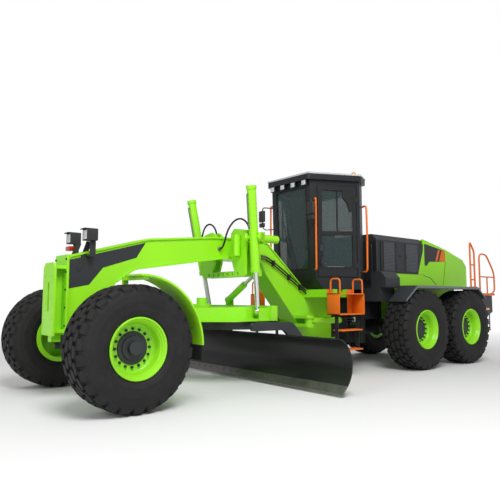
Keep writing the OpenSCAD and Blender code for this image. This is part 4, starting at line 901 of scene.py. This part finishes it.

# Walkways: rolled plate with pressed grip studs, bolted over the tandem wheels, and a
# grey strip along the outer edge that is a painted highlight for the lit top edge.
WALK_Y = 1.5
grip = [studs((-8.58, 0.78, 1.689), (30, (0.081, 0, 0)), (9, (0, 0.078, 0)), 0.016, 0.006)]
both_sides("walkway_studs", grip, charcoal, REAR)
# The grey strip on the outer face is a painted highlight: it stands for the lit top face of the walkway edge.
highlight_strip_lines = ([(-8.64, 1.640), (-8.64, 1.690), (-6.20, 1.690), (-6.20, 1.640)],
                [(-6.20, 1.640), (-6.20, 1.690), (-5.80, 1.402), (-5.80, 1.364)],
                [(-8.96, 1.422), (-8.96, 1.462), (-8.64, 1.690), (-8.64, 1.645)])
highlight_strip = [panel("highlight_strip", outline, WALK_Y, 0.004) for outline in highlight_strip_lines]
both_sides("walkway_highlight_strip", highlight_strip, mesh_grey, REAR)

# Bolts, teeth and feed tubes: hexagon heads on the push block and along the
# cutting edge, the cut teeth of the circle, and a pressed tube on each lift barrel.
def heads(name, spots, place, radius=0.018, high=0.014):
    """Hexagon bolt heads at (a, b) spots of a face, then put in place."""
    made = joined(name, [raised("head", ngon(radius, 6, a, b), -0.002, high, 0.96, 0.002) for a, b in spots])
    made.data.transform(place)
    return settle(made, 25)


PUSH_FACE = moved(0.430) @ FORWARD
push_bolts = heads("push_block_bolts", [(y, z) for y in (-0.205, 0.205)
                                        for z in (1.05, 1.30, 1.55, 1.80, 1.98)], PUSH_FACE)
finished(push_bolts, charcoal, "front_body")
lean = math.radians(223.6)
out, up = (math.cos(lean), math.sin(lean)), (-math.sin(lean), math.cos(lean))
bolt_x, bolt_z = -2.580 + out[0] * 0.414 + up[0] * 0.060, 0.450 + out[1] * 0.414 + up[1] * 0.060
EDGE_FACE = Matrix(((0, up[0], -out[0], AXLE_X + bolt_x), (1, 0, 0, 0), (0, up[1], -out[1], bolt_z),
                    (0, 0, 0, 1)))
edge_bolts = heads("cutting_edge_bolts", [(-2.3 + 0.2 * k, 0.0) for k in range(24)], EDGE_FACE, 0.016, 0.010)
finished(edge_bolts, steel, "blade_body")
tooth = raised("tooth", [(0.735, -0.021), (0.735, 0.021), (0.716, 0.010), (0.716, -0.010)], 0.922, 0.958, 1.0,
               0.0)
teeth = ringed(tooth, 72, "Z")
teeth.data.transform(moved(-2.625))
finished(joined("circle_teeth", [teeth]), steel, "circle_body")
lift_eye, lift_top = Vector((-2.670, 0.700, 1.210)), Vector((-2.360, 0.900, 3.300))
lift_pin = Vector((-2.486, 0.819, 2.450))
rise, off = (lift_top - lift_eye).normalized(), Vector((0.098, 0, -0.014))
feed = tube("lift_feed", bent([lift_pin + rise * 0.16 + off * 0.7, lift_pin + rise * 0.16 + off * 1.05,
                               lift_pin + rise * 0.72 + off * 1.05, lift_pin + rise * 0.72 + off * 0.7],
                              0.03), 0.011)
both_sides("lift_feed_tube", [feed], steel, ("left_lift_barrel_body", "right_lift_barrel_body"))

# Hydraulic hoses: wire-braided rubber hoses from elbows on the gooseneck, one
# arching over the saddle to a valve block and two clamped along the leg.
def smooth(route, count):
    """Points of one smooth curve through a route."""
    knots = [Vector(spot) for spot in route]
    knots = [2 * knots[0] - knots[1]] + knots + [2 * knots[-1] - knots[-2]]
    made = []
    for k in range(count):
        place = k * (len(route) - 1) / (count - 1)
        i = min(int(place), len(route) - 2)
        t, (a, b, c, d) = place - i, knots[i:i + 4]
        made.append(0.5 * (2 * b + (c - a) * t + (2 * a - 5 * b + 4 * c - d) * t ** 2
                           + (3 * b - a - 3 * c + d) * t ** 3))
    return made


def hose(name, route, diameter):
    points = smooth(route, 34)
    path = [FROM_AXLE @ spot for spot in points]
    piece = finished(tube(name, points, diameter / 2), rubber, "front_body")
    sum((b - a).length for a, b in zip(path, path[1:]))


ARCH = [(-2.220, 0.226, 2.280), (-2.222, 0.300, 2.312), (-2.230, 0.345, 2.400), (-2.250, 0.370, 2.520),
        (-2.295, 0.395, 2.645), (-2.370, 0.425, 2.752), (-2.465, 0.450, 2.802), (-2.560, 0.470, 2.785),
        (-2.635, 0.482, 2.705), (-2.668, 0.488, 2.580), (-2.673, 0.490, 2.420), (-2.669, 0.488, 2.270),
        (-2.664, 0.487, 2.138)]
LEG = [(-3.230, 0.228, 2.200), (-3.300, 0.232, 2.180), (-3.450, 0.240, 2.105), (-3.650, 0.246, 1.985),
       (-3.850, 0.250, 1.860), (-4.050, 0.250, 1.735), (-4.200, 0.250, 1.640), (-4.291, 0.250, 1.582)]
collar = [(0.001, 0), (0.036, 0), (0.036, 0.016), (0.022, 0.022), (0.021, 0.050), (0.001, 0.050)]
cuff = [(0.001, 0), (0.022, 0), (0.022, 0.018), (0.019, 0.050), (0.001, 0.050)]
fittings = [column("collar", (-2.220, 0.199, 2.280), "Y", collar, 20),
            column("cuff", (-2.664, 0.487, 2.130), "Z", cuff, 20)]
clamps = [slab("valve_block", (-2.706, 0.382, 2.000), (-2.639, 0.538, 2.138), 0.008)]
for low in (0.0, 0.055):
    fittings.append(tube("leg_elbow", bent([(-3.180, 0.197, 2.208 - low), (-3.180, 0.228, 2.208 - low),
                                            (-3.250, 0.228, 2.197 - low)], 0.02), 0.018))
for x, z in ((-3.450, 2.110), (-3.850, 1.860), (-4.150, 1.672)):
    clamps.append(slab("clamp", (x - 0.022, 0.198, z - 0.085), (x + 0.022, 0.268, z + 0.024), 0.006))
both_sides("hose_fittings", fittings, steel, FRONT)
both_sides("hose_blocks", clamps, plastic, FRONT)
for side, sign in zip(SIDES, (1, -1)):
    hose(side + "_arch_hose", [(x, sign * y, z) for x, y, z in ARCH], 0.032)
    for label, low in (("_upper_leg_hose", 0.0), ("_lower_leg_hose", 0.055)):
        hose(side + label, [(x, sign * y, z - low) for x, y, z in LEG], 0.028)
